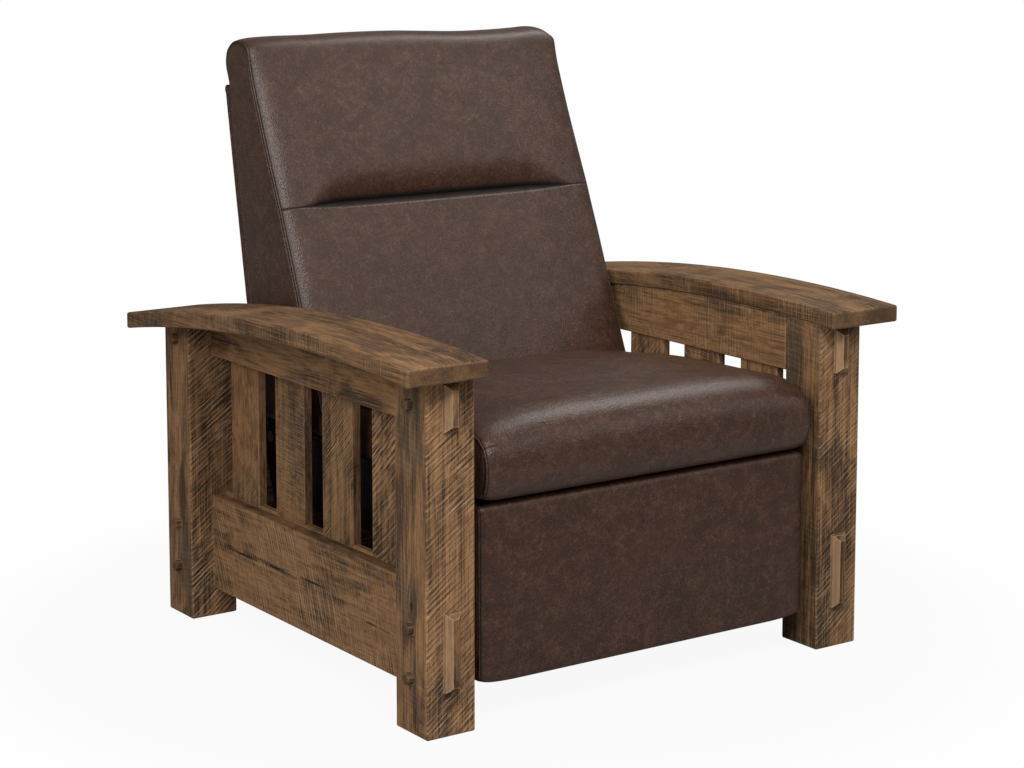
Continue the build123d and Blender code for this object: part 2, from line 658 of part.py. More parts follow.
def carriage():
    """Sliding seat carriage, without its rollers, back and links."""
    save_sides("carriage_plate", carriage_plate())
    y0, y1 = SEAT_FRONT_RAIL_Y, SEAT_BACK_RAIL_Y
    inner = PLATE_X - SEAT_RAIL_THICK
    save("seat_side_rails", both(seat_rail(inner, PLATE_X, y0, y1, SEAT_DECK_Z)))
    sill = SEAT_DECK_Z - WIRE
    save("seat_front_rail", seat_rail(-inner, inner, y0, y0 + SEAT_RAIL_THICK, sill))
    save("seat_back_rail", seat_rail(-inner, inner, y1 - SEAT_RAIL_THICK, y1, sill))
    under = SEAT_DECK_Z - NOSE_BOARD_THICK
    board = block(-PLATE_X, PLATE_X, y0 - NOSE_BOARD_REACH, y0, under, SEAT_DECK_Z)
    save("seat_nose_board", fillet(board.edges().filter_by(Axis.X), SEAT_RAIL_EDGE))
    save("seat_springs", seat_springs())
    save("carriage_tie_tubes", tie_tubes())
    save("seat_cushion", seat_cushion())
    axles = Compound(children=[axle(y) for y in (ROLLER_FRONT_Y, ROLLER_BACK_Y)])
    save("roller_axles", both(axles))
    plate_out = PLATE_X + PLATE_THICK
    swing = pin(INNER_PIVOT, INNER_X, plate_out, plate_out, PIN_RADIUS, PIN_HEAD_RADIUS, PIN_HEAD)
    rear_out = REAR_CONTROL_X + LINK_THICK
    control = pin(REAR_CONTROL, PLATE_X, rear_out, rear_out, PIN_RADIUS, PIN_HEAD_RADIUS, PIN_HEAD)
    save("link_pivot_pins", both(Compound(children=[swing, control])))
    place = (-BACK_PIVOT_Y, BACK_PIVOT_Z)
    hinge = pin(place, INNER_X, plate_out, plate_out, PIVOT_RADIUS, PIVOT_HEAD_RADIUS, PIVOT_HEAD)
    save("back_pivot_pins", both(hinge))
    save("front_rollers", both(roller(ROLLER_FRONT_Y)))
    save("back_rollers", both(roller(ROLLER_BACK_Y)))


def link(x, ends, radii):
    """Flat steel bar with round ends and a hole at each place."""
    (f0, z0), (f1, z1) = ends[0], ends[-1]
    length = hypot(f1 - f0, z1 - z0)
    turn = degrees(atan2(z1 - z0, f0 - f1))
    blank = Pos(-(f0 + f1) / 2, (z0 + z1) / 2) * Rot(0, 0, turn) * SlotCenterToCenter(length, LINK_WIDTH)
    solid = extrude(Plane.YZ.offset(x) * blank, LINK_THICK)
    for (forward, z), radius in zip(ends, radii):
        solid -= bar(x, x + LINK_THICK, -forward, z, radius)
    return solid


def outer_link():
    """Outer link with a short tail past the knee."""
    running = PIN_RADIUS + LINK_CLEARANCE
    arm_bar = link(OUTER_X, (KNEE, FOOT_PIVOT), (running, PIN_RADIUS))
    tail = link(OUTER_X, (KNEE, TAIL), (running, PIN_RADIUS))
    joined = arm_bar + tail
    for place, radius in ((KNEE, running), (FOOT_PIVOT, PIN_RADIUS), (TAIL, PIN_RADIUS)):
        joined -= bar(OUTER_X, OUTER_X + LINK_THICK, -place[0], place[1], radius)
    return joined


def footrest_links():
    """The two link sets under the seat, their pins and torque tube."""
    running = PIN_RADIUS + LINK_CLEARANCE
    loose = PIN_RADIUS + OPEN_PIVOT_PLAY
    inner_ends = (INNER_PIVOT, FRONT_CONTROL, KNEE)
    save("inner_links", both(link(INNER_X, inner_ends, (running, PIN_RADIUS, PIN_RADIUS))))
    save("outer_links", both(outer_link()))
    save("rear_control_links", both(link(REAR_CONTROL_X, (REAR_CONTROL, TAIL), (running, loose))))
    front_ends = (FRONT_CONTROL, FOOT_CONTROL)
    save("front_control_links", both(link(FRONT_CONTROL_X, front_ends, (running, loose))))
    inner_out = INNER_X + LINK_THICK
    knee = pin(KNEE, OUTER_X, inner_out, OUTER_X - PIN_HEAD, PIN_RADIUS, PIN_HEAD_RADIUS, PIN_HEAD)
    head_x = FRONT_CONTROL_X - PIN_HEAD
    cross = pin(FRONT_CONTROL, FRONT_CONTROL_X, inner_out, head_x, PIN_RADIUS, PIN_HEAD_RADIUS, PIN_HEAD)
    save("knee_pins", both(Compound(children=[knee, cross])))
    outer_out = OUTER_X + LINK_THICK
    head_x = BRACKET_X - PIN_HEAD
    tilt = pin(FOOT_PIVOT, BRACKET_X, outer_out, head_x, PIN_RADIUS, PIN_HEAD_RADIUS, PIN_HEAD)
    rear_out = REAR_CONTROL_X + LINK_THICK
    tail = pin(TAIL, OUTER_X, rear_out, rear_out, PIN_RADIUS, PIN_HEAD_RADIUS, PIN_HEAD)
    save("outer_link_pins", both(Compound(children=[tilt, tail])))
    tube = bar(-INNER_X, INNER_X, -TORQUE_TUBE[0], TORQUE_TUBE[1], TIE_TUBE_RADIUS)
    tube -= bar(-INNER_X, INNER_X, -TORQUE_TUBE[0], TORQUE_TUBE[1], TIE_TUBE_RADIUS - TIE_TUBE_WALL)
    save("footrest_torque_tube", tube)


def foot_bracket():
    """Angle bracket on the back of the footrest board."""
    low, high = FOOT_PIVOT[1] - BRACKET_MARGIN, FOOT_CONTROL[1] + BRACKET_MARGIN
    near = -(FOOT_PIVOT[0] - LINK_WIDTH / 2)
    ear = block(BRACKET_X, BRACKET_X + LINK_THICK, FOOT_BACK_Y, near, low, high)
    corners = ear.edges().filter_by(Axis.X).group_by(Axis.Y)[-1]
    ear = fillet(corners, LINK_WIDTH / 2)
    foot = block(BRACKET_X - BRACKET_LEG, BRACKET_X, FOOT_BACK_Y, FOOT_BACK_Y + LINK_THICK, low, high)
    bracket = ear + foot
    running = PIN_RADIUS + LINK_CLEARANCE
    bracket -= bar(BRACKET_X, BRACKET_X + LINK_THICK, -FOOT_PIVOT[0], FOOT_PIVOT[1], running)
    return bracket - bar(BRACKET_X, BRACKET_X + LINK_THICK, -FOOT_CONTROL[0], FOOT_CONTROL[1], PIN_RADIUS)


def foot_section(x, inset):
    """Side outline of the footrest pad at one place across its width."""
    back, front = FOOT_BACK_Y, FOOT_FRONT_Y + inset
    low, high = FOOT_LOW_Z + inset, FOOT_HIGH_Z - inset
    shoulder = front + FOOT_CROWN
    round_y = shoulder + FOOT_EDGE
    bow = FOOT_EDGE * (1 - sqrt(HALF))
    outline = Polyline((round_y, low), (back, low), (back, high), (round_y, high))
    outline += ThreePointArc((round_y, high), (shoulder + bow, high - bow), (shoulder, high - FOOT_EDGE))
    middle = (front, (low + high) / 2)
    outline += ThreePointArc((shoulder, high - FOOT_EDGE), middle, (shoulder, low + FOOT_EDGE))
    outline += ThreePointArc((shoulder, low + FOOT_EDGE), (shoulder + bow, low + bow), (round_y, low))
    return Plane.YZ.offset(x) * make_face(outline)


def foot_board():
    """Plywood board of the footrest."""
    half = FOOT_HALF_WIDTH - FOOT_BOARD_MARGIN
    low, high = FOOT_LOW_Z + FOOT_BOARD_MARGIN, FOOT_HIGH_Z - FOOT_BOARD_MARGIN
    return block(-half, half, FOOT_BACK_Y - FOOT_BOARD_THICK, FOOT_BACK_Y, low, high)


def footrest():
    """Padded footrest with its board and brackets."""
    shares = stations()
    sections = [foot_section(FOOT_HALF_WIDTH * share, FOOT_SIDE_INSET * corner(share)) for share in shares]
    save("footrest_pad", loft(sections, ruled=True) - foot_board())
    save("footrest_board", foot_board())
    save("footrest_brackets", both(foot_bracket()))
    head_x = BRACKET_X - PIN_HEAD
    tip = FRONT_CONTROL_X + LINK_THICK
    open_pin = pin(FOOT_CONTROL, BRACKET_X, tip, head_x, PIN_RADIUS, PIN_HEAD_RADIUS, PIN_HEAD)
    save("footrest_pins", both(open_pin))


def lean(y, z):
    """Place in the back's own slope: along the stile from the pivot, and across it."""
    return (BACK_PIVOT_Y + z * sin(SLOPE) + y * cos(SLOPE), BACK_PIVOT_Z + z * cos(SLOPE) - y * sin(SLOPE))


def lean_block(x0, x1, y0, y1, z0, z1):
    """Block that leans with the back's frame."""
    corners = [lean(y0, z0), lean(y1, z0), lean(y1, z1), lean(y0, z1)]
    return side_solid(Polyline(*corners, close=True), x0, x1)


def back_springs():
    """Zigzag springs between the rails of the back frame, on its front face."""
    low = BACK_LOW_RAIL_RISE + BACK_RAIL_WIDTH + WIRE / 2
    high = STILE_ABOVE_PIVOT - BACK_RAIL_WIDTH - WIRE / 2
    front = -STILE_THICK / 2
    strip = extrude(trace(wave(high - low, SPRING_SWING, SPRING_PITCH), WIRE), WIRE)
    y, z = lean(front, low)
    half = INNER_X - STILE_WIDTH
    pitch = 2 * half / BACK_SPRINGS
    places = [pitch * (i + HALF) - half for i in range(BACK_SPRINGS)]
    tilt = Rot(90 - BACK_SLOPE_DEGREES, 0, 0)
    return Compound(children=[Pos(x, y, z) * tilt * Pos(0, 0, -WIRE) * strip for x in places])


def rear_y(z, across):
    """Y of a plane that leans with the back frame, at one height."""
    rise = (z - BACK_PIVOT_Z + across * sin(SLOPE)) / cos(SLOPE)
    return BACK_PIVOT_Y + rise * sin(SLOPE) + across * cos(SLOPE)


def back_section(x, inset, crease, bulge):
    """Side outline of the back cushion at one place across its width."""
    foot = (BACK_FOOT_Y + inset, BACK_FOOT_Z)
    seam = (BACK_SEAM_Y + inset + crease, BACK_SEAM_Z)
    brow = (BACK_BROW_Y + inset, BACK_BROW_Z)
    crown = (BACK_CROWN_Y + inset, BACK_CROWN_Z - inset)
    top = (BACK_TOP_Y, BACK_TOP_Z - BACK_TOP_FALL * (1 - bulge))
    rear = STILE_THICK / 2
    rear_top = (rear_y(BACK_REAR_TOP_Z, rear + BACK_REAR_PROUD), BACK_REAR_TOP_Z)
    neck_z = OUTSIDE_TOP_Z + BACK_NECK_RISE
    neck = (rear_y(neck_z, rear), neck_z)
    rear_foot = (rear_y(BACK_FOOT_Z, rear), BACK_FOOT_Z)
    low_bow = ((foot[0] + seam[0] - crease) / 2 - BACK_BULGE * bulge, (foot[1] + seam[1]) / 2)
    head_bow = ((seam[0] - crease + brow[0]) / 2 - BACK_HEAD_BULGE * bulge, (seam[1] + brow[1]) / 2)
    outline = Line(rear_foot, foot)
    outline += ThreePointArc(foot, low_bow, seam)
    outline += ThreePointArc(seam, head_bow, brow)
    outline += ThreePointArc(brow, bowed_by(brow, crown, -BACK_CROWN_BOW), crown)
    outline += ThreePointArc(crown, bowed_by(crown, top, -BACK_CROWN_BOW), top)
    outline += ThreePointArc(top, bowed_by(top, rear_top, -BACK_TOP_BOW), rear_top)
    outline += ThreePointArc(rear_top, bowed_by(rear_top, neck, -BACK_NECK_BOW), neck)
    outline += Line(neck, rear_foot)
    return Plane.YZ.offset(x) * make_face(outline)


def bowed_by(a, b, bow):
    """Middle point of an arc between two points, off its chord by a length."""
    run, rise = b[0] - a[0], b[1] - a[1]
    length = hypot(run, rise)
    return ((a[0] + b[0]) / 2 + bow * rise / length, (a[1] + b[1]) / 2 - bow * run / length)


def frame_pocket():
    """Room for the back frame and its brackets in the back cushion, open to the rear."""
    side = INNER_X + LINK_THICK
    rise = BACK_FOOT_Z - BACK_PIVOT_Z
    return lean_block(-side, side, -STILE_THICK / 2, STILE_THICK / 2, rise * HALF, STILE_ABOVE_PIVOT)


def crease_share(x):
    """Share of the crease's full depth at one place across the back."""
    beyond = (abs(x) - BACK_CREASE_HALF_WIDTH) / BACK_CREASE_RUN
    return 1 - min(max(beyond, 0), 1)


def back_cushion():
    """Back cushion: lumbar part, crease and head roll in one cover."""
    ends = BACK_CREASE_HALF_WIDTH / BACK_HALF_WIDTH
    rows = sorted([*stations(), -ends, ends])
    sections = []
    for share in rows:
        x = BACK_HALF_WIDTH * share
        bulge = 1 - (1 - EDGE_BULGE_SHARE) * crown(share)
        depth = BACK_CREASE_DEPTH * crease_share(x)
        sections.append(back_section(x, BACK_SIDE_INSET * corner(share), depth, bulge))
    return loft(sections, ruled=True) - frame_pocket()


def back():
    """Reclining back: timber frame, springs, cushion and outside panel."""
    half = STILE_THICK / 2
    inner = INNER_X - STILE_WIDTH
    foot = -STILE_BELOW_PIVOT
    save("back_stiles", both(lean_block(inner, INNER_X, -half, half, foot, STILE_ABOVE_PIVOT)))
    low = BACK_LOW_RAIL_RISE
    save("back_frame_low_rail", lean_block(-inner, inner, -half, half, low, low + BACK_RAIL_WIDTH))
    high = STILE_ABOVE_PIVOT
    save("back_frame_top_rail", lean_block(-inner, inner, -half, half, high - BACK_RAIL_WIDTH, high))
    save("back_springs", back_springs())
    wide = BACK_BRACKET_WIDTH / 2
    bracket = lean_block(INNER_X, INNER_X + LINK_THICK, -wide, wide, 0, BACK_BRACKET_RISE)
    bracket += bar(INNER_X, INNER_X + LINK_THICK, BACK_PIVOT_Y, BACK_PIVOT_Z, PIVOT_BOSS)
    bracket -= bar(INNER_X, INNER_X + LINK_THICK, BACK_PIVOT_Y, BACK_PIVOT_Z, PIVOT_RADIUS + LINK_CLEARANCE)
    save("back_brackets", both(bracket))
    save("back_cushion", back_cushion())
    top = (OUTSIDE_TOP_Z - BACK_PIVOT_Z) / cos(SLOPE)
    wide, thick = OUTSIDE_HALF_WIDTH, OUTSIDE_THICK
    panel = lean_block(-wide, wide, half, half + thick, OUTSIDE_LOW_RISE, top)
    rear = panel.faces().sort_by(Axis.Y)[-1].edges()
    roll_y, roll_z = lean(half + thick - OUTSIDE_EDGE, top)
    roll = bar(-wide, wide, roll_y, roll_z, OUTSIDE_ROLL)
    save("outside_back_panel", fillet(rear, OUTSIDE_EDGE) + roll)
    wide, low = INNER_X - SKIRT_SIDE_INSET, OUTSIDE_LOW_RISE - SKIRT_FALL
    skirt = lean_block(-wide, wide, half, half + thick, low, OUTSIDE_LOW_RISE)
    save("outside_back_skirt", fillet(skirt.edges().filter_by(Axis.X).group_by(Axis.Z)[0], SKIRT_EDGE))


def tracks():
    """Slide tracks and their screws."""
    holes = [bar(POST_IN_X - TRACK_WALL, POST_IN_X, y, TRACK_Z, SCREW_SHANK_RADIUS) for y in screw_places()]
    save("slide_tracks", both(track() - holes))
    save("track_screws", both(Compound(children=[track_screw(y) for y in screw_places()])))


def main():
    """Build and write every piece."""
    os.makedirs("parts", exist_ok=True)
    timber_frame()
    tracks()
    carriage()
    footrest_links()
    footrest()
    back()


main()
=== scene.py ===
"""Looks of the wall hugger recliner: rough-sawn timber, brown leather and the steel works under the seat.

Metres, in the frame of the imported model: +Z up, the front towards -Y, the viewer's left towards -X.
The soft pieces are drawn in millimetres, which become metres as their mesh is made.
"""
from math import cos, pi, radians, sin

import bpy
import numpy as np
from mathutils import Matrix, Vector


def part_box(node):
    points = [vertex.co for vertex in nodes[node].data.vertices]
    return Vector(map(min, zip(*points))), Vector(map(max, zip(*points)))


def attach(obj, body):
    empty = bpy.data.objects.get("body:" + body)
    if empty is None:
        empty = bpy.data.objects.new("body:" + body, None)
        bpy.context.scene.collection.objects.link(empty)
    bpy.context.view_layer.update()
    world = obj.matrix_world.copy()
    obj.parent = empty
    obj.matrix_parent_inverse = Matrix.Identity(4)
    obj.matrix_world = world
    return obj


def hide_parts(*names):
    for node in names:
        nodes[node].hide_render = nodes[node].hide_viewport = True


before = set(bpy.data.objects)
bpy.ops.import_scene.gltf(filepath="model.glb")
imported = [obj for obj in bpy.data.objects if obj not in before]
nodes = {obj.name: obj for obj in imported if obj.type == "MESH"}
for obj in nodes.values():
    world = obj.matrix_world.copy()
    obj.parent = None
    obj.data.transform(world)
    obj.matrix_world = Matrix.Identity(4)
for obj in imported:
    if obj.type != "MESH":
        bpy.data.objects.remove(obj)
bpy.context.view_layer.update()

X, Y, Z = 0, 1, 2

# Sockets of a colour mix, by place, because its other kinds share their names
MIX_SHARE, MIX_LOW, MIX_HIGH, MIX_RESULT = 0, 6, 7, 2


class Value:
    """A shader socket that takes part in sums: each operator adds the node that works it out."""

    def __init__(self, sheet, socket):
        self.sheet = sheet
        self.socket = socket

    def __add__(self, other):
        return self.sheet.maths("ADD", self, other)

    def __sub__(self, other):
        return self.sheet.maths("SUBTRACT", self, other)

    def __rsub__(self, other):
        return self.sheet.maths("SUBTRACT", other, self)

    def __mul__(self, other):
        return self.sheet.maths("MULTIPLY", self, other)

    __radd__ = __add__
    __rmul__ = __mul__


class Sheet:
    """The nodes of one material or of the world, and the ways of adding to them."""

    def __init__(self, tree):
        self.tree = tree

    def add(self, kind, settings, sockets, output=0):
        """Any node: its settings first, a ramp's stops among them, then its sockets' links or values.

        The stops are given in their order along the ramp. What comes back is one of the node's outputs.
        """
        node = self.tree.nodes.new("ShaderNode" + kind)
        for key, value in settings.items():
            if key == "stops":
                for position, _ in value[1:-1]:
                    node.color_ramp.elements.new(position)
                for element, (position, colour) in zip(node.color_ramp.elements, value):
                    element.position = position
                    element.color = (*colour, 1)
            else:
                setattr(node, key, value)
        for key, value in sockets.items():
            self.feed(node.inputs[key], value)
        return Value(self, node.outputs[output]) if node.outputs else None

    def feed(self, socket, value):
        """Link a value to a socket, or set the number or colour there."""
        if isinstance(value, Value):
            self.tree.links.new(value.socket, socket)
        elif socket.type == "RGBA":
            socket.default_value = (*value, 1)
        else:
            socket.default_value = value

    def maths(self, operation, *terms):
        """Math on numbers, Vector Math where a term is a vector."""
        vectors = any(isinstance(t, Value) and t.socket.type == "VECTOR" for t in terms)
        vectors = vectors or any(isinstance(t, tuple) for t in terms)
        if vectors:
            terms = [t if isinstance(t, (Value, tuple)) else (t, t, t) for t in terms]
        kind = "VectorMath" if vectors else "Math"
        return self.add(kind, {"operation": operation}, dict(enumerate(terms)))

    def absolute(self, value):
        """A number without its sign."""
        return self.maths("ABSOLUTE", value)

    def length(self, vector):
        """Length of a vector."""
        return self.add("VectorMath", {"operation": "LENGTH"}, {0: vector}, "Value")

    def split(self, vector):
        """The three parts of a vector."""
        parts = self.add("SeparateXYZ", {}, {0: vector})
        return [Value(self, socket) for socket in parts.socket.node.outputs]

    def gather(self, x, y, z):
        """A vector from three parts."""
        return self.add("CombineXYZ", {}, {X: x, Y: y, Z: z})

    def noise(self, place, detail=3, rough=0.55, warp=0.0):
        """Soft noise with features one unit across."""
        values = {"Vector": place, "Scale": 1, "Detail": detail, "Roughness": rough, "Distortion": warp}
        return self.add("TexNoise", {}, values)

    def step(self, value, low, high):
        """Smooth change from 0 to 1 between two values."""
        settings = {"interpolation_type": "SMOOTHSTEP"}
        return self.add("MapRange", settings, {"Value": value, "From Min": low, "From Max": high})

    def blend(self, share, low, high):
        """Mix of two colours."""
        sockets = {MIX_SHARE: share, MIX_LOW: low, MIX_HIGH: high}
        return self.add("Mix", {"data_type": "RGBA"}, sockets, MIX_RESULT)


class Finish(Sheet):
    """A material with one shader, and what its looks start from: place and facing."""

    def __init__(self, name, roughness, metallic=0, specular=0.5):
        self.material = bpy.data.materials.new(name)
        self.material.use_nodes = True
        super().__init__(self.material.node_tree)
        self.shader = self.tree.nodes["Principled BSDF"]
        self.shader.inputs["Roughness"].default_value = roughness
        self.shader.inputs["Metallic"].default_value = metallic
        self.shader.inputs["Specular IOR Level"].default_value = specular
        self.place = self.add("TexCoord", {}, {}, "Object")
        self.facing = self.add("TexCoord", {}, {}, "Normal")

    def moved(self, seed, shift):
        """Place moved by a seed, so that no two pieces show the same pattern."""
        return self.place + tuple(seed * part for part in shift)

    def worn_edge(self, reach):
        """1 on sharp edges, falling to 0 a reach away from them."""
        soft = self.add("Bevel", {"samples": 6}, {"Radius": reach})
        true = self.add("NewGeometry", {}, {}, "Normal")
        along = self.add("VectorMath", {"operation": "DOT_PRODUCT"}, {0: soft, 1: true}, "Value")
        return self.step(1 - along, 0.004, 0.1)

    def surface(self, colour, roughness, height, depth):
        """Feed the shader: colour, roughness unless it stays plain, and a bump of a depth in metres."""
        self.feed(self.shader.inputs["Base Color"], colour)
        if roughness is not None:
            self.feed(self.shader.inputs["Roughness"], roughness)
        bump = self.add("Bump", {}, {"Strength": 1, "Distance": depth, "Height": height})
        self.feed(self.shader.inputs["Normal"], bump)
        return self


def dress(finish, *names):
    """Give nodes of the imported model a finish."""
    for name in names:
        nodes[name].data.materials.clear()
        nodes[name].data.materials.append(finish.material)


# Timber

BARK = (0.017, 0.0115, 0.008)
UMBER = (0.05, 0.0285, 0.0162)
DARK_OAK = (0.078, 0.0435, 0.0225)
BARE = (0.195, 0.101, 0.0455)
TAN = (0.31, 0.165, 0.074)
PALE = (0.43, 0.265, 0.15)
WEATHERED = (0.088, 0.062, 0.041)

# Tones of the grain, from dark to pale: wood that is paler still shows bare
GRAIN_TONES = ((0.425, UMBER), (0.6, TAN), (0.6, BARE))

TIMBER_SHIFT = (1.37, 0.73, 2.11)
TIMBER_DEPTH = 0.0009
EDGE_WEAR = 0.0042
KNOT_SWIRL, KNOT_PULL = 3.4, -0.7
FULL_TURN = 6.2832


def by_grain(grain, along, cross):
    """Scale of a pattern that has one size along the grain and one across it."""
    return tuple(along if axis == grain else cross for axis in (X, Y, Z))


def round_knots(finish, place, knots):
    """Place bent round the knots, and where their dark cores are. A knot is a centre, a size and a shape."""
    bent, core = place, None
    for centre, size, shape in knots:
        spot = (finish.place - centre) * shape
        away = finish.length(spot)
        near = 1 - finish.step(away, 0, size * KNOT_SWIRL)
        bent = bent + spot * (near * KNOT_PULL)
        ragged = away + finish.noise(finish.place * 190, 3) * (size * 0.8)
        hole = 1 - finish.step(ragged, size * 0.5, size * 1.2)
        core = hole if core is None else finish.maths("MAXIMUM", core, hole)
    return bent, core


def saw_marks(finish, place, saw, sawn, pitch, seed):
    """Tooth marks in rings round the saw's centre: light and dark lines, pale hairs and dark scores."""
    x, y, z = finish.split(finish.place)
    away = finish.length(finish.place - saw) + finish.noise(place * 5, 2) * 0.002
    lanes = away * (1000 / pitch)
    drift = finish.noise(finish.gather(lanes * 0.4, x * 9 + y * 7 + seed, z * 8 - y * 5), 3, 0.7)
    broken = finish.noise(finish.gather(lanes * 1.2, x * 19 + y * 14 + seed, z * 17 - y * 9), 3, 0.7)
    hatch = finish.noise(finish.gather(away * 620, x * 26 + y * 19, z * 23 + seed), 3, 0.66)
    tooth = finish.maths("SINE", (lanes + drift * 1.7) * FULL_TURN)
    light_line = finish.step(tooth, 0.45, 1.0) * finish.step(broken, 0.42, 0.55) * sawn
    dark_line = finish.step(tooth, -0.4, -1.0) * finish.step(broken, 0.58, 0.42) * sawn
    hair = finish.step(hatch, 0.53, 0.66) * sawn
    score = finish.step(hatch, 0.46, 0.34) * sawn
    return light_line, dark_line, hair, score


def timber(name, grain, saw, marks, seed, warm=0.5, worn=0.6, contrast=1.0, knots=(), pitch=7.5,
           figure=0.0, grey=0.65, left_face_highlight=0.0, even=0.0):
    """Rough-sawn stained timber: grain along one axis, saw marks round a far centre, worn edges and knots.

    marks is how strongly the saw has marked the faces across X, Y and Z, pitch the millimetres from tooth
    mark to tooth mark, and contrast how strong the marks' colours are. warm is the share of tan wood, grey
    that of weathered wood, and even how much of the change from light to dark is taken out. worn is how
    pale the edges are, left_face_highlight how much a painted highlight pales the faces that look to -X, and
    figure adds a blotchy, rubbed face.
    """
    finish = Finish(name, 0.62, specular=0.12)
    place = finish.moved(seed, TIMBER_SHIFT)
    bent, core = round_knots(finish, place, knots)
    band = finish.noise(bent * by_grain(grain, 1.6, 34), 5, 0.66, 0.5)
    streak = finish.noise(bent * by_grain(grain, 4, 150), 4, 0.66, 0.2)
    fibre = finish.noise(bent * by_grain(grain, 12, 560), 3, 0.6)
    dash = finish.noise(bent * by_grain(grain, 38, 420), 3, 0.62)
    patch = finish.noise(place * by_grain(grain, 4.6, 10), 5, 0.68, 0.7)
    blot = finish.noise(place * by_grain(grain, 24, 60), 5, 0.7, 0.9)
    veil = finish.noise(place * 7 + 3, 2, 0.5)

    across_x, across_y, across_z = [finish.absolute(part) for part in finish.split(finish.facing)]
    marked = across_x * marks[X] + across_y * marks[Y] + across_z * marks[Z]
    sawn = marked * (0.5 + finish.step(veil, 0.62, 0.4) * 0.7)
    light_line, dark_line, hair, score = saw_marks(finish, place, saw, sawn, pitch, seed)

    tone = band * 0.44 + streak * 0.34 + finish.step(patch, 0.36, 0.64) * 0.16 + blot * 0.06
    tone = (tone - 0.5) * (1 - even) + (0.5 + (warm - 0.5) * 0.08)
    colour = finish.add("ValToRGB", {"stops": GRAIN_TONES}, {"Fac": tone})
    colour = finish.blend(finish.step(patch * 0.4 + veil * 0.6, 0.5, 0.36) * grey, colour, WEATHERED)
    if figure:
        colour = finish.blend(finish.step(blot, 0.49, 0.56) * figure, colour, TAN)
        colour = finish.blend(finish.step(blot, 0.47, 0.4) * figure, colour, DARK_OAK)
    pores = finish.step(fibre, 0.47, 0.33) * 0.6 + finish.step(dash, 0.4, 0.28) * 0.4
    colour = finish.blend(finish.step(fibre, 0.53, 0.64) * 0.55, colour, TAN)
    colour = finish.blend(pores, colour, BARK)
    colour = finish.blend(dark_line * (0.6 * contrast) + score * (0.5 * contrast), colour, BARK)
    colour = finish.blend(light_line * (0.62 * contrast) + hair * (0.55 * contrast), colour, PALE)
    end_grain = finish.step((across_x, across_y, across_z)[grain], 0.7, 0.95)
    colour = finish.blend(end_grain * 0.5, colour, DARK_OAK)
    # Painted highlight: faces that look to -X, towards the lamps, made paler
    if left_face_highlight:
        to_left = finish.split(finish.facing)[X] * -1
        colour = finish.blend(finish.step(to_left, 0.3, 0.75) * left_face_highlight, colour, PALE)
    edge = finish.worn_edge(EDGE_WEAR) * finish.step(finish.noise(place * 55, 3), 0.3, 0.56)
    colour = finish.blend(edge * worn, colour, PALE)
    height = light_line * 0.3 - dark_line * 0.9 + fibre * 0.4 + streak * 0.6 - score * 0.4
    if core is not None:
        colour = finish.blend(core, colour, BARK)
        height = height - core * 1.2
    return finish.surface(colour, 0.58 + patch * 0.16, height, TIMBER_DEPTH)


# Leather

HIDE = (0.0345, 0.014, 0.0082)
HIDE_DEEP = (0.02, 0.0088, 0.0056)
HIDE_WARM = (0.068, 0.0315, 0.0195)
HIDE_SCUFF = (0.118, 0.064, 0.04)
HIDE_BLOOM = (0.05, 0.0245, 0.0165)
# Dark of the seams, and also the painted shade along the back's crease
HIDE_SEAM_AND_CREASE_SHADE = (0.004, 0.0028, 0.0022)

HIDE_SHIFT = (1, 0.6, 1.7)
HIDE_DEPTH = 0.00045

# Hair-thin scuffs, from short to long: how close they lie along each axis, and how wide they are
SCUFFS = (
    ((96, 60, 78), 0.034), ((56, 90, 48), 0.026), ((34, 30, 40), 0.014), ((22, 36, 27), 0.011),
)


def leather(name, seed, bloom, warm, deep, shine=0.37, specular=0.33):
    """Pull-up leather: clouds of brown, hair-thin scuffs, a pebbled grain, dark seams and the painted shade
    along the back's crease.

    bloom, warm and deep are the shares of bloomed, warm and deep brown, and shine is how rough the hide is.
    """
    finish = Finish(name, shine, specular=specular)
    place = finish.moved(seed, HIDE_SHIFT)
    cloud = finish.noise(place * 11, 6, 0.64, 0.4)
    mottle = finish.noise(place * 40, 6, 0.68, 0.5)
    fleck = finish.noise(place * 150, 4, 0.7, 0.2)
    veil = finish.noise(place * 6.5 + 9, 5, 0.66, 0.6)
    pooled = finish.step(cloud * 0.42 + mottle * 0.4 + fleck * 0.18, 0.535, 0.43)
    bloomed = finish.step(veil * 0.6 + mottle * 0.4, 0.475, 0.56)
    pulled = finish.step(cloud * 0.2 + mottle * 0.35 + fleck * 0.45, 0.49, 0.59)
    colour = finish.blend(pooled * deep, HIDE, HIDE_DEEP)
    colour = finish.blend(bloomed * bloom, colour, HIDE_BLOOM)
    colour = finish.blend(pulled * warm, colour, HIDE_WARM)
    rubbed = finish.step(mottle * 0.5 + fleck * 0.5, 0.46, 0.57)
    for closeness, width in SCUFFS:
        crack = finish.noise(place * closeness, 2, 0.5, 1.6)
        line = 1 - finish.step(finish.absolute(crack - 0.5), 0.0, width)
        colour = finish.blend(line * rubbed * 0.42, colour, HIDE_SCUFF)
    pebbles = {"Vector": place, "Scale": 460, "Smoothness": 0.4}
    grain = finish.add("TexVoronoi", {"feature": "SMOOTH_F1"}, pebbles)
    wrinkle = finish.noise(place * 210, 4, 0.62, 0.6)
    colour = finish.blend(finish.step(grain, 0.34, 0.6) * 0.2, colour, HIDE_SCUFF)
    # Seams darkened, and on the back a painted shade along the crease
    seam = finish.add("Attribute", {"attribute_name": "seam"}, {}, "Fac")
    colour = finish.blend(seam * 0.95, colour, HIDE_SEAM_AND_CREASE_SHADE)
    roughness = (shine - 0.16) + cloud * 0.08 + grain * 0.1 + mottle * 0.12 + seam * 0.3
    return finish.surface(colour, roughness, grain * 0.8 + wrinkle * 0.6, HIDE_DEPTH)
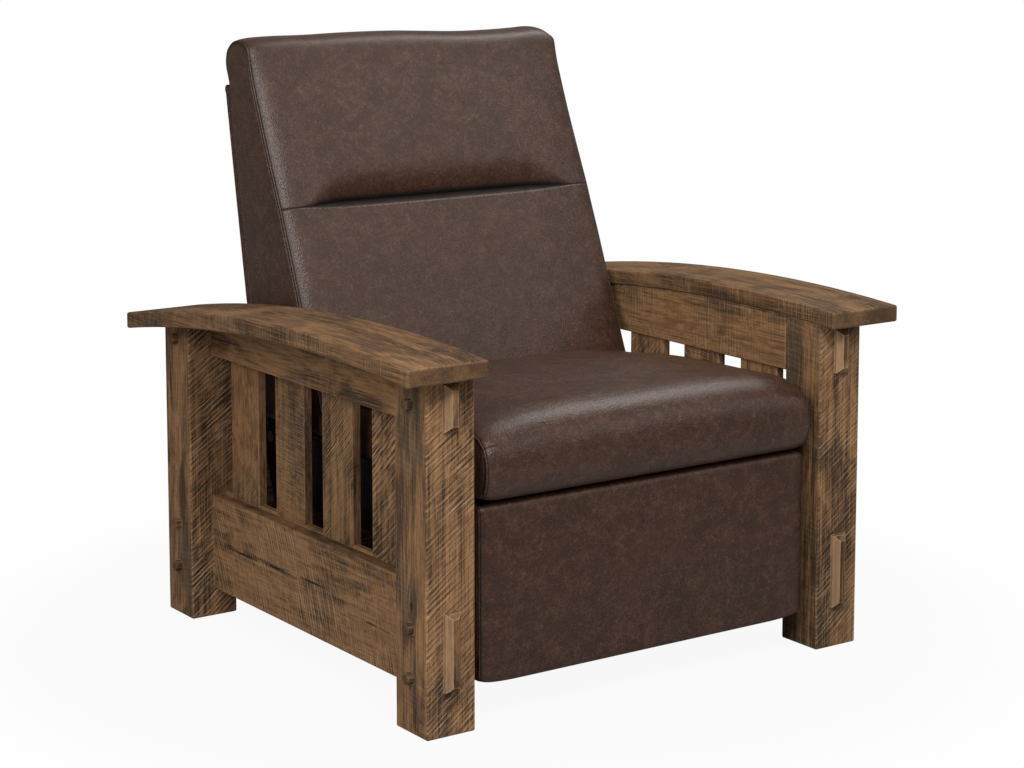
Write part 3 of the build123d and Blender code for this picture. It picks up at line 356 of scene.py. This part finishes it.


# Steel, nylon, plywood and dust cloth

# Black paint of the works, darkened to near black and matte as a painted shade inside the frame
BLACK_PAINT_AND_SHADE = (0.011, 0.011, 0.012)
ZINC = (0.36, 0.365, 0.37)
SPRING_STEEL = (0.16, 0.155, 0.15)
NYLON = (0.62, 0.61, 0.57)
PLY_FACE_DARK, PLY_FACE_PALE, PLY_EDGE = (0.2, 0.125, 0.062), (0.34, 0.23, 0.12), (0.09, 0.05, 0.024)
# Black of the nose board's cloth, a painted shade for the gap between seat and footrest
CLOTH_BLACK_GAP_SHADE, CLOTH_LINT = (0.006, 0.006, 0.0065), (0.016, 0.015, 0.015)


def works(name, colour, roughness, metallic, pitch, depth, wear):
    """Plain factory finish with faint rolling marks, handling wear and rubbed edges."""
    finish = Finish(name, roughness, metallic)
    rolled = finish.noise(finish.place * (pitch, pitch * 0.08, pitch), 4, 0.6)
    cloud = finish.noise(finish.place * 18, 4)
    dull = tuple(part * 0.55 for part in colour)
    rubbed = tuple(min(part * 2.6, 0.8) for part in colour)
    tint = finish.blend(finish.step(cloud, 0.35, 0.7), dull, colour)
    tint = finish.blend(finish.worn_edge(0.0015) * wear, tint, rubbed)
    return finish.surface(tint, rolled * 0.25 + (roughness - 0.1), rolled, depth)


def bands(finish, axis, scale, distortion):
    """Even bands across one axis."""
    sockets = {"Vector": finish.place, "Scale": scale, "Distortion": distortion}
    return finish.add("TexWave", {"bands_direction": axis}, sockets)


def plywood(name):
    """Board with its plies on the edges and a plain face."""
    finish = Finish(name, 0.7, specular=0.25)
    plies = bands(finish, "Y", 105, 0.6)
    face = finish.noise(finish.place * (3, 60, 60), 4, 0.6, 0.4)
    edge = 1 - finish.absolute(finish.split(finish.facing)[Y])
    tint = finish.blend(face, PLY_FACE_DARK, PLY_FACE_PALE)
    tint = finish.blend(plies * edge * 0.6, tint, PLY_EDGE)
    return finish.surface(tint, None, face, 0.0003)


def gap_shade_cloth(name):
    """Black dust cloth over a board: a close weave with lint, its black a painted shade for the gap between
    seat and footrest.
    """
    finish = Finish(name, 0.9, specular=0.1)
    warp = bands(finish, "X", 420, 0.4)
    weft = bands(finish, "Z", 420, 0.4)
    lint = finish.noise(finish.place * 90, 4, 0.7)
    tint = finish.blend(finish.step(lint, 0.5, 0.8), CLOTH_BLACK_GAP_SHADE, CLOTH_LINT)
    return finish.surface(tint, None, warp * 0.5 + weft * 0.5, 0.0002)


# Soft goods: a closed outline from front to rear, drawn at many places across the width

def section(corners):
    """Closed outline through rounded corners.

    A corner is (y, z, reach, arc steps, run steps, bulge of the run that follows).
    """
    points = []
    count = len(corners)
    spots = [Vector((y, z)) for y, z, *_ in corners]
    for i, (_, _, reach, arc, run, bulge) in enumerate(corners):
        here, before, after = spots[i], spots[i - 1], spots[(i + 1) % count]
        start = here + (before - here).normalized() * reach
        end = here + (after - here).normalized() * reach
        for k in range(arc):
            s = k / arc
            points.append(start * (1 - s) ** 2 + here * (2 * s * (1 - s)) + end * s**2)
        next_reach = corners[(i + 1) % count][2]
        goal = after + (here - after).normalized() * next_reach
        way = goal - end
        out = Vector((way.y, -way.x)).normalized() * -bulge
        for k in range(run):
            s = k / run
            points.append(end + way * s + out * sin(pi * s) ** 2)
    return np.array([tuple(p) for p in points])


def through(table, at):
    """Smooth curve through a table of places and readings, at one place or many."""
    places, readings = (np.array(column, float) for column in zip(*table))
    slope = np.gradient(readings, places)
    at = np.clip(at, places[0], places[-1])
    i = np.clip(np.searchsorted(places, at) - 1, 0, len(places) - 2)
    step = places[i + 1] - places[i]
    s = (at - places[i]) / step
    near = (1 + 2 * s) * (1 - s) ** 2 * readings[i] + s * (1 - s) ** 2 * step * slope[i]
    return near + s * s * (3 - 2 * s) * readings[i + 1] + s * s * (s - 1) * step * slope[i + 1]


def smooth(value):
    """Smooth change from 0 to 1."""
    value = min(max(value, 0), 1)
    return value * value * (3 - 2 * value)


def drawn_in(loop, depth):
    """Closed outline moved inwards by a depth, or by one depth for each of its points."""
    ahead = np.roll(loop, -1, axis=0) - np.roll(loop, 1, axis=0)
    out = np.stack([-ahead[:, 1], ahead[:, 0]], axis=1)
    out /= np.linalg.norm(out, axis=1)[:, None] + 1e-12
    return loop - out * np.reshape(depth, (-1, 1))


def side_panel(loop, sides, x, crown):
    """Points that fill a closed outline: a grid between its front, top, rear and bottom."""
    up, back = sides
    front = loop[: up + 1]
    top = loop[up : up + back + 1]
    rear = loop[up + back : 2 * up + back + 1][::-1]
    bottom = np.vstack([loop[2 * up + back :], loop[:1]])[::-1]
    s = np.linspace(0, 1, up + 1)[:, None, None]
    t = np.linspace(0, 1, back + 1)[None, :, None]
    flat = (1 - t) * front[:, None] + t * rear[:, None] + (1 - s) * bottom[None] + s * top[None]
    flat = flat - ((1 - s) * (1 - t) * front[0] + s * (1 - t) * front[-1])
    flat = flat - ((1 - s) * t * rear[0] + s * t * rear[-1])
    swell = (np.sin(pi * s) * np.sin(pi * t))[..., 0] ** 0.5
    return np.dstack([x + crown * swell, flat])


def skin(name, places, rings, sides, crown, seam):
    """Closed mesh from rings at places across the width, with a crowned panel at each side.

    sides is how many steps a ring takes up its front and along its top, and seam holds each ring
    point's darkness, from 0 to 1, which the leather reads: its dark seams, and on the back a painted shade
    in the crease.
    """
    count = len(rings[0])
    points = [(x, y, z) for x, ring in zip(places, rings) for y, z in ring]
    shade = [value for row in seam for value in row]
    faces = []
    for i in range(len(rings) - 1):
        for k in range(count):
            a, b = i * count + k, i * count + (k + 1) % count
            faces.append((a, b, b + count, a + count))
    up, back = sides
    edge = [(i, 0) for i in range(up + 1)] + [(up, j) for j in range(1, back + 1)]
    edge += [(i, back) for i in range(up - 1, -1, -1)] + [(0, j) for j in range(back - 1, 0, -1)]
    for end, base in ((0, 0), (-1, (len(rings) - 1) * count)):
        x = places[end]
        grid = side_panel(rings[end], sides, x, crown if x > 0 else -crown)
        index = {place: base + k for k, place in enumerate(edge)}
        for i in range(1, up):
            for j in range(1, back):
                index[i, j] = len(points)
                points.append(tuple(grid[i, j]))
                shade.append(0.0)
        for i in range(up):
            for j in range(back):
                quad = [index[i, j], index[i + 1, j], index[i + 1, j + 1], index[i, j + 1]]
                faces.append(quad if x < 0 else quad[::-1])
    mesh = bpy.data.meshes.new(name)
    mesh.from_pydata([tuple(c / 1000 for c in p) for p in points], [], faces)
    mesh.attributes.new("seam", "FLOAT", "POINT").data.foreach_set("value", shade)
    mesh.polygons.foreach_set("use_smooth", [True] * len(mesh.polygons))
    piece = bpy.data.objects.new(name, mesh)
    bpy.context.scene.collection.objects.link(piece)
    return piece


# A sewn corner, from the panel over its roll, the stitched groove and the welt to the boxing:
# place across from the seam's plane, how far the skin has rolled in, and how dark it is
SEWN_CORNER = (
    (-34.0, 0.0, 0.0), (-27.0, 0.2, 0.0), (-21.5, 0.6, 0.0), (-17.0, 1.1, 0.0), (-12.5, 1.9, 0.0),
    (-9.0, 2.8, 0.0), (-6.2, 3.7, 0.0), (-4.0, 4.7, 0.0), (-2.6, 5.5, 0.05), (-1.9, 6.1, 0.6),
    (-1.6, 7.0, 1.0), (-0.8, 7.3, 1.0), (-0.2, 6.4, 0.2), (0.8, 6.6, 0.0), (1.7, 7.7, 0.0),
    (1.9, 9.0, 0.0), (1.3, 10.1, 0.15), (0.7, 10.7, 0.4), (0.9, 12.0, 0.0),
)


def across(half, steps, marks=()):
    """Places across the width with the roll and the darkness of the skin at each."""
    inner = half + SEWN_CORNER[0][0]
    middle = sorted(set(np.round(np.linspace(0, inner, steps), 2)) | set(marks))
    right = [(x, 0.0, 0.0) for x in middle[:-1]]
    right += [(half + out, roll, dark) for out, roll, dark in SEWN_CORNER]
    return [(-x, roll, dark) for x, roll, dark in reversed(right) if x > 0] + right


def sewn_skin(name, stations, outline, sides, crown):
    """Skin over an outline of its place across and the roll there, as dark as the seams make it."""
    rings = [outline(x, roll) for x, roll, _ in stations]
    shades = [[dark] * len(ring) for (_, _, dark), ring in zip(stations, rings)]
    return skin(name, [x for x, _, _ in stations], rings, sides, crown, shades)


def upholster(piece, body, node, finish):
    """Subdivide a soft piece, dress it, and put it in its solid's place."""
    divide = piece.modifiers.new("divide", "SUBSURF")
    divide.levels = divide.render_levels = 1
    bpy.context.view_layer.update()
    done = bpy.data.meshes.new_from_object(piece.evaluated_get(bpy.context.evaluated_depsgraph_get()))
    piece.modifiers.clear()
    piece.data = done
    piece.data.materials.clear()
    piece.data.materials.append(finish.material)
    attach(piece, body)
    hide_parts(node)


# Half widths, and how far the seat's top falls to its sides
SEAT_HALF, FOOTREST_HALF, BACK_HALF, PANEL_HALF, SKIRT_HALF = 326.0, 328.0, 326.0, 325.0, 307.5
SEAT_FALL = 21


def seat_leather():
    """Seat cushion: a full rolled nose, a gentle crown and a boxed side."""
    rear_and_base = 40

    def outline(x, roll):
        fall = SEAT_FALL * abs(x / SEAT_HALF) ** 4.2
        puff = 1 - abs(x / SEAT_HALF) ** 4
        loop = section([
            (-398, 352, 5, 2, 1, 0),
            (-422, 353, 12, 3, 1, 0),
            (-438, 382, 18, 4, 1, 0),
            (-436, 436 - fall * 0.4, 20, 5, 1, 0),
            (-414, 473 - fall * 0.8, 22, 4, 1, 0),
            (-372, 489 - fall, 20, 4, 22, 4 + 8 * puff),
            (62, 461 - fall, 10, 4, 13, 2),
            (26, 358, 5, 2, 38, 0),
        ])
        share = np.ones(len(loop))
        share[-rear_and_base:] = 0.4
        return drawn_in(loop, roll * 0.85 * share)

    return sewn_skin("seat_leather", across(SEAT_HALF, 24), outline, (16, 37), 4.0)


def footrest_leather():
    """Footrest pad: a flat front panel with a soft top and drawn-in sides."""
    def outline(x, roll):
        puff = 1 - abs(x / FOOTREST_HALF) ** 6
        low = 61 + 2.5 * smooth((abs(x) - 262) / 66)
        loop = section([
            (-417, low, 9, 4, 18, 3.5 * puff),
            (-416, 349, 18, 6, 3, 0.5),
            (-354, 346, 4, 2, 23, 0),
            (-354, low, 4, 2, 6, 0),
        ])
        return drawn_in(loop, roll * 0.75)

    return sewn_skin("footrest_leather", across(FOOTREST_HALF, 22), outline, (25, 7), 2.0)


# The back cushion: at each height its front edge, its rear and how far its front swells
BACK_EDGE = (
    (366, 46), (410, 62), (450, 80), (495, 98), (605, 142), (648, 159), (712, 186), (738, 196.5),
    (777, 214), (842, 243.5), (897, 267), (940, 284), (973, 296.5), (1000, 304),
)
BACK_REAR = (
    (366, 273.4), (700, 331.1), (935, 371.7), (944, 372.6), (952, 377.5), (962, 384), (972, 387.5),
    (982, 388.5), (992, 387), (1000, 384),
)
BACK_SWELL = (
    (366, 0), (420, 5), (520, 9), (640, 9.5), (715, 7.5), (740, 6), (790, 12), (850, 13), (920, 10),
    (970, 6), (1000, 3),
)
# Its top: shares of the run from front to rear and of the rise, and the rise at places across
BACK_TOP_SHARES = (
    (0.03, 0.2), (0.067, 0.44), (0.124, 0.65), (0.22, 0.85), (0.35, 0.96), (0.5, 1.0), (0.63, 0.945),
    (0.74, 0.8), (0.83, 0.61), (0.905, 0.39), (0.96, 0.19),
)
BACK_TOP_RISE = (
    (-326, 0), (-258, 2), (-197, 1.7), (-135, 3.1), (-72, 3.6), (-9, 2.9), (56, 0.1), (122, -2.8),
    (189, -3), (257, -1), (291, 0.5), (312, -3), (326, -10),
)
BACK_LOW, BACK_SHOULDER, BACK_TOP = 366, 1000, 1025
# The crease between the lumbar part and the head roll, which runs out into a flush seam at each end:
# half its width, how far it takes to run out, and how deep, how far down and how far up each draws the skin
CREASE_Z = 740.0
CREASE_HALF, CREASE_FADE = 180, 115
CREASE_DEPTH, CREASE_BELOW, CREASE_ABOVE = 32, 5.5, 92
SEAM_DEPTH, SEAM_BELOW, SEAM_ABOVE = 2.0, 2.2, 3.5
# Rows of the skin near the crease, and places across where it runs out
CREASE_ROWS = (
    724, 729, 732.5, 735, 737, 738.3, 739.2, 739.75, 740.25, 741, 742.4, 744.6, 748, 752.5, 758, 765,
    773, 782, 792,
)
CREASE_ENDS = (222, 230, 237, 243, 249, 255, 261, 268, 276, 284, 292, 300)


def crease(x, z):
    """How deep the skin is drawn in at the crease between the lumbar part and the head roll."""
    deep = 1 - smooth((abs(x) - CREASE_HALF) / CREASE_FADE)
    depth = CREASE_DEPTH * deep + SEAM_DEPTH * (1 - deep)
    below = CREASE_BELOW * deep + SEAM_BELOW * (1 - deep)
    above = CREASE_ABOVE * deep + SEAM_ABOVE * (1 - deep)
    near = 1 - np.clip(np.abs(z - CREASE_Z) / np.where(z < CREASE_Z, below, above), 0, 1)
    return depth * (0.45 * (1 - np.sqrt(1 - near**2)) + 0.55 * near**2.6)


def back_leather():
    """Back cushion: lumbar panel, deep crease with a painted shade, and head roll, with flush seams at the
    crease's ends.
    """
    rows = np.concatenate([
        np.linspace(BACK_LOW, 716, 17), CREASE_ROWS, np.linspace(804, BACK_SHOULDER, 14),
    ])
    stations = across(BACK_HALF, 18, CREASE_ENDS)
    rings, shades = [], []
    edge_y, swell = through(BACK_EDGE, rows), through(BACK_SWELL, rows)
    rear = np.stack([through(BACK_REAR, rows), rows], axis=1)[::-1]
    ups, backs = len(rows) - 1, len(BACK_TOP_SHARES) + 1
    share = np.concatenate([
        np.interp(rows, (BACK_LOW, 420, 960, BACK_SHOULDER), (0.4, 1, 1, 0.75)),
        np.linspace(0.65, 0.45, backs - 1),
        np.interp(rear[:, 1], (BACK_LOW, 930, 960), (0.1, 0.1, 0.5)),
        np.full(backs - 1, 0.2),
    ])
    for x, roll, dark in stations:
        puff = 1 - abs(x / BACK_HALF) ** 3
        front = np.stack([edge_y - 6.6 - swell * puff, rows], axis=1)
        peak = BACK_TOP + through(BACK_TOP_RISE, x) - BACK_SHOULDER
        start, run = front[-1, 0], rear[0, 0] - front[-1, 0]
        top = np.array([(start + run * a, BACK_SHOULDER + peak * b) for a, b in BACK_TOP_SHARES])
        t = np.linspace(0, 1, backs + 1)[1:-1, None]
        bottom = rear[-1] * (1 - t) + front[0] * t
        loop = drawn_in(np.vstack([front, top, rear, bottom]), roll * share)
        fade = 1 - smooth((abs(x) - BACK_HALF + 3) / 4)
        loop[: ups + 1, 0] += crease(x, rows) * fade
        rings.append(loop)
        # Dark seam line along the crease, widened into a painted shade where the crease is deep
        sewn_and_crease_shade = np.zeros(len(loop))
        deep = 1 - smooth((abs(x) - 240) / 36)
        line = 1.6 - np.abs(rows - CREASE_Z - 3 * deep) / (0.6 + 5 * deep)
        sewn_and_crease_shade[: ups + 1] = np.clip(line, 0, 1) * (fade > 0)
        shades.append(list(np.maximum(sewn_and_crease_shade, dark)))
    return skin("back_leather", [x for x, _, _ in stations], rings, (ups, backs), 4.5, shades)


# The outside back, in the back's own slope: how far behind the pivot's line its faces lie, how far along
# the slope from the pivot it begins and ends, and the roll of its top edge
BACK_SLOPE = radians(9.8)
BACK_PIVOT = (256, 330)
PANEL_FRONT, PANEL_REAR, SKIRT_REAR = 11.4, 25.5, 24.6
PANEL_LOW, SKIRT_LOW, SKIRT_TOP = 34, -129.5, 33.5
PANEL_TOP, PANEL_STEP = 606, 8
ROLL_ACROSS, ROLL_RISE, ROLL_RADIUS = 21, 615, 9.5


def leaning(across_frame, rise):
    """Place in the back's own slope, across it and along it from the back's pivot."""
    y = BACK_PIVOT[0] + rise * sin(BACK_SLOPE) + across_frame * cos(BACK_SLOPE)
    return y, BACK_PIVOT[1] + rise * cos(BACK_SLOPE) - across_frame * sin(BACK_SLOPE)


def outside_leather():
    """Outside back: leather over board, with a rolled and piped top edge."""
    rises = np.linspace(PANEL_LOW, PANEL_TOP, 25)
    turns = [radians(a) for a in range(168, -40, -17)]
    front = [leaning(PANEL_FRONT, rise) for rise in rises]
    top = [leaning(ROLL_ACROSS + ROLL_RADIUS * cos(a), ROLL_RISE + ROLL_RADIUS * sin(a)) for a in turns]
    down = rises[::-1].copy()
    down[0] -= PANEL_STEP
    height = PANEL_TOP - PANEL_LOW
    rear = [leaning(PANEL_REAR + 1.2 * sin(pi * (rise - PANEL_LOW) / height), rise) for rise in down]
    count = len(top)
    thick = PANEL_REAR - PANEL_FRONT
    bottom = [leaning(PANEL_REAR - thick * k / (count + 1), PANEL_LOW) for k in range(1, count + 1)]
    loop = np.array(front + top + rear + bottom)
    share = np.ones(len(loop))
    share[: len(front)] = 0.1
    share[len(front) : len(front) + count] = 0.3

    def outline(x, roll):
        return drawn_in(loop, roll * 0.42 * share)

    return sewn_skin("outside_leather", across(PANEL_HALF, 16), outline, (24, count + 1), 0.5)


def outside_skirt():
    """Skirt of the outside back below the panel, down behind the seat."""
    rises = np.linspace(SKIRT_LOW, SKIRT_TOP, 12)
    thick = SKIRT_REAR - PANEL_FRONT
    front = [leaning(PANEL_FRONT, rise) for rise in rises]
    rear = [leaning(SKIRT_REAR, rise) for rise in rises[::-1]]
    top = [leaning(PANEL_FRONT + thick * k / 4, SKIRT_TOP) for k in range(1, 4)]
    bottom = [leaning(SKIRT_REAR - thick * k / 4, SKIRT_LOW) for k in range(1, 4)]
    loop = np.array(front + top + rear + bottom)

    def outline(x, roll):
        return drawn_in(loop, roll * 0.25)

    return sewn_skin("outside_skirt", across(SKIRT_HALF, 12), outline, (11, 4), 0.3)


# Dressing the chair

POST_KNOTS = (
    ((-0.4379, -0.388, 0.203), 0.0085, (1, 1, 0.62)),
    ((-0.4379, -0.379, 0.166), 0.006, (1, 1, 0.7)),
)
RAIL_CRACK = (
    ((-0.3935, 0.22, 0.1355), 0.006, (1, 0.07, 1.3)),
    ((-0.3935, 0.11, 0.1385), 0.009, (1, 0.09, 1.3)),
    ((-0.3935, -0.01, 0.1425), 0.006, (1, 0.08, 1.4)),
    ((-0.3935, -0.2, 0.118), 0.004, (1, 0.12, 1.2)),
)
# Node, the saw's place across, marks, seed and the rest of the finish
POSTS = (
    ("front_post_left", 1.5, (0.1, 0.85, 0.4), 1.1, {"warm": 0.4, "contrast": 0.9, "knots": POST_KNOTS}),
    ("back_post_left", 1.5, (0.1, 1.2, 0.4), 2.4, {"warm": 0.8}),
    ("front_post_right", 2.3, (0.2, 0.85, 0.4), 3.7, {"warm": 0.2, "contrast": 0.85}),
    ("back_post_right", 2.3, (0.2, 0.9, 0.4), 4.6, {"warm": 0.45, "contrast": 0.8}),
)
ARM_LOOK = {"warm": 0.1, "worn": 0.9, "contrast": 0.6, "pitch": 4.2, "grey": 0.2, "even": 0.5}
# The tenon ends get a painted highlight on their faces that look to -X
TENON_LOOK = {"warm": 0.3, "worn": 0.9, "contrast": 0.5, "grey": 0.2, "left_face_highlight": 0.42}
PEG_LOOK = {"warm": -0.7, "worn": 0.35, "contrast": 0.4, "grey": 0.9}
# Name of the finish, nodes, grain, the saw's centre, marks, seed and the rest of the finish
BOARDS = (
    ("arm, near", ("arm_board_left",), Y, (-0.42, 4.0, 0.5), (0.75, 0.3, 0.1), 5.3, ARM_LOOK),
    ("arm, far", ("arm_board_right",), Y, (0.42, 4.0, 0.5), (0.75, 0.3, 0.1), 6.1, ARM_LOOK),
    ("upper rail, near", ("top_side_rail_left",), Y, (-0.4, 0.3, 3.0), (0.25, 0.2, 0.2), 7.4,
     {"warm": 0.9, "contrast": 0.5, "grey": 0.5}),
    ("upper rail, far", ("top_side_rail_right",), Y, (0.4, 4.0, 0.5), (0.6, 0.2, 0.2), 8.8,
     {"warm": 1.7, "contrast": 0.55}),
    ("lower rail, near", ("low_side_rail_left",), Y, (-0.4, 1.05, -0.22), (0.95, 0.3, 0.2), 9.2,
     {"warm": 0.75, "worn": 0.7, "contrast": 0.9, "knots": RAIL_CRACK, "figure": 0.2, "grey": 0.6}),
    ("lower rail, far", ("low_side_rail_right",), Y, (0.4, 1.05, -0.22), (0.95, 0.3, 0.2), 10.6,
     {"warm": 0.6, "worn": 0.7, "contrast": 0.8}),
    ("cross rails", ("back_rail", "front_stretcher"), X, (2.0, 0.3, -0.6), (0.6, 0.6, 0.4), 31.0,
     {"warm": 0.3, "contrast": 0.7}),
    ("groove filler", ("groove_fillers",), Y, (-0.4, 4.0, 0.5), (0.4, 0.2, 0.3), 33.0,
     {"warm": 0.8, "worn": 0.7, "contrast": 0.5}),
    ("tenon ends", ("upper_tenon_ends", "lower_tenon_ends"), Z, (0.9, 1.2, 0.1), (0.15, 0.12, 0.3), 35.0,
     TENON_LOOK),
    ("pegs", ("frame_pegs",), X, (0.2, 0.3, 2.0), (0.3, 0.2, 0.2), 37.0, PEG_LOOK),
    ("seat frame wood", ("seat_side_rails", "seat_front_rail", "seat_back_rail", "back_stiles",
                         "back_frame_low_rail", "back_frame_top_rail"), X, (2.0, 0.3, -0.6),
     (0.3, 0.3, 0.3), 39.0, {"warm": 0.9, "worn": 0.3, "contrast": 0.3}),
)
# Slats 1 to 4: name, the saw's centre behind and above, mark, warm, contrast, pitch and figure
SLATS = (
    ("slat, mottled", (1.2, 1.3), 0.35, 2.8, 0.7, 6.0, 0.6),
    ("slat, fine sawn", (-0.36, 6.0), 0.7, 0.42, 0.7, 4.0, 0.2),
    ("slat, close sawn", (1.5, 1.6), 0.85, 0.5, 0.8, 5.0, 0.2),
    ("slat, coarse sawn", (1.0, 1.15), 1.15, 0.6, 1.15, 8.5, 0.1),
)


def dress_timber():
    """One finish for each post, arm, rail and slat, after the marks that each shows."""
    for node, saw_x, marks, seed, look in POSTS:
        wood = timber(node.replace("_", " "), Z, (saw_x, 0, -2.4), marks, seed, worn=0.85, **look)
        dress(wood, node)
    for name, pieces, grain, saw, marks, seed, look in BOARDS:
        dress(timber(name, grain, saw, marks, seed, **look), *pieces)
    for side, sign in (("left", 1), ("right", -1)):
        for i, (name, (y, z), mark, warm, contrast, pitch, figure) in enumerate(SLATS):
            low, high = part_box(f"slat_{side}_{i + 1}")
            saw = (-0.36 * sign, (low.y + high.y) / 2 + y, 0.3 + z)
            seed = 12.3 + i * 1.9 + (sign < 0) * 9.1
            wood = timber(f"{name}, {side}", Z, saw, (mark, 0.1, 0.3), seed, warm, 0.85, contrast,
                          pitch=pitch, figure=figure)
            dress(wood, f"slat_{side}_{i + 1}")
    dress(plywood("plywood"), "footrest_board")
    # The nose board's black cloth paints the shade in the gap between seat and footrest
    dress(gap_shade_cloth("dust cloth, painted gap shade"), "seat_nose_board")


def dress_works():
    """Steel, nylon and wire of the mechanism."""
    # Black paint, also a painted shade: the works seen between the slats are made near black
    black = works("black steel, painted interior shade", BLACK_PAINT_AND_SHADE, 0.6, 0.0, pitch=240, depth=0.00012, wear=0.35)
    dress(black, "carriage_plate_left", "carriage_plate_right", "inner_links", "outer_links")
    dress(black, "rear_control_links", "front_control_links", "footrest_brackets", "back_brackets")
    dress(black, "footrest_torque_tube", "carriage_tie_tubes", "slide_tracks")
    zinc = works("zinc plate", ZINC, 0.38, 0.9, pitch=300, depth=0.00008, wear=0.3)
    dress(zinc, "track_screws", "roller_axles", "link_pivot_pins", "back_pivot_pins")
    dress(zinc, "knee_pins", "outer_link_pins", "footrest_pins")
    spring = works("spring steel", SPRING_STEEL, 0.38, 0.9, pitch=900, depth=0.00006, wear=0.3)
    dress(spring, "seat_springs", "back_springs")
    nylon = works("nylon", NYLON, 0.45, 0, pitch=160, depth=0.0001, wear=0.1)
    dress(nylon, "front_rollers", "back_rollers")


def dress_soft():
    """Leather pieces in place of the plain soft solids."""
    seat = leather("leather seat", 1.0, bloom=0.15, warm=0.3, deep=0.6, shine=0.35, specular=0.3)
    upholster(seat_leather(), "seat_carriage", "seat_cushion", seat)
    back = leather("leather back", 5.0, bloom=0.35, warm=0.25, deep=0.4)
    upholster(back_leather(), "reclining_back", "back_cushion", back)
    foot = leather("leather footrest", 9.0, bloom=0.1, warm=0.3, deep=0.6, specular=0.24)
    upholster(footrest_leather(), "footrest", "footrest_pad", foot)
    outside = leather("leather outside", 13.0, bloom=0.1, warm=0.55, deep=0.5, specular=0.2)
    upholster(outside_leather(), "reclining_back", "outside_back_panel", outside)
    upholster(outside_skirt(), "reclining_back", "outside_back_skirt", outside)


# Studio

FLOOR_REACH = 40
FLOOR_DARK, FLOOR_PALE = (0.42, 0.42, 0.42), (0.45, 0.45, 0.45)
SHADOW_SHARE = 0.07
SKY_STRENGTH = 0.3
SKY_TINT = (1, 0.985, 0.965)
WHITE = (1, 1, 1)
# Name, place, size in metres and watts
LAMPS = (
    ("overhead box", (1.55, 0.1, 2.8), 1.3, 32),
    ("left box", (-3.4, -1.5, 2.6), 2.0, 84),
    ("right front box", (2.7, -3.6, 2.9), 1.8, 32),
    ("front box", (-0.95, -2.5, 3.05), 0.65, 78),
)
LAMP_AIM = Vector((0, 0, 0.5))
EYE_PLACE = (-2.4025, -3.4752, 1.3051)
EYE_DROP, EYE_TURN = 7.563, 34.872
LENS_LENGTH, FILM_WIDTH, LENS_RISE = 86.98, 36, -0.1751


def floor():
    """Pale floor that the camera sees as white, with the chair's shadow on it."""
    r = FLOOR_REACH
    mesh = bpy.data.meshes.new("studio_floor")
    mesh.from_pydata([(-r, -r, 0), (r, -r, 0), (r, r, 0), (-r, r, 0)], [], [(0, 1, 2, 3)])
    piece = bpy.data.objects.new("studio_floor", mesh)
    bpy.context.scene.collection.objects.link(piece)
    finish = Finish("studio floor", 0.9, specular=0)
    speckle = finish.noise(finish.place * 3, 2)
    tint = finish.blend(speckle, FLOOR_DARK, FLOOR_PALE)
    finish.feed(finish.shader.inputs["Base Color"], tint)
    seen = finish.add("LightPath", {}, {}, "Is Camera Ray")
    far = finish.step(finish.length(finish.place), 0.6, 1.2)
    white = seen * ((1 - SHADOW_SHARE) + far * SHADOW_SHARE)
    glow = finish.add("Emission", {}, {"Color": WHITE, "Strength": 1})
    mixed = finish.add("MixShader", {}, {0: white, 1: Value(finish, finish.shader.outputs[0]), 2: glow})
    finish.feed(finish.tree.nodes["Material Output"].inputs["Surface"], mixed)
    mesh.materials.append(finish.material)


def sky():
    """World that lights the chair softly and shows white behind it."""
    world = bpy.data.worlds.new("studio")
    bpy.context.scene.world = world
    world.use_nodes = True
    world.node_tree.nodes.clear()
    air = Sheet(world.node_tree)
    seen = air.add("LightPath", {}, {}, "Is Camera Ray")
    soft = air.add("Background", {}, {"Color": SKY_TINT, "Strength": SKY_STRENGTH})
    glow = air.add("Background", {}, {"Color": WHITE})
    mixed = air.add("MixShader", {}, {0: seen, 1: soft, 2: glow})
    air.add("OutputWorld", {}, {"Surface": mixed})


def lamp(name, place, size, watts):
    """Square soft box that faces the chair."""
    light = bpy.data.lights.new(name, "AREA")
    light.shape = "SQUARE"
    light.size = size
    light.energy = watts
    piece = bpy.data.objects.new(name, light)
    piece.location = place
    piece.rotation_euler = (LAMP_AIM - Vector(place)).to_track_quat("-Z", "Y").to_euler()
    bpy.context.scene.collection.objects.link(piece)


def camera():
    """Camera of the photograph."""
    lens = bpy.data.cameras.new("view")
    lens.lens = LENS_LENGTH
    lens.sensor_width = FILM_WIDTH
    lens.shift_y = LENS_RISE
    eye = bpy.data.objects.new("view", lens)
    eye.location = EYE_PLACE
    eye.rotation_euler = (radians(90 - EYE_DROP), 0, radians(-EYE_TURN))
    bpy.context.scene.collection.objects.link(eye)
    bpy.context.scene.camera = eye


def studio():
    """Floor, soft light and camera."""
    floor()
    sky()
    for box in LAMPS:
        lamp(*box)
    camera()
    bpy.context.scene.view_settings.view_transform = "Standard"


studio()
dress_timber()
dress_works()
dress_soft()
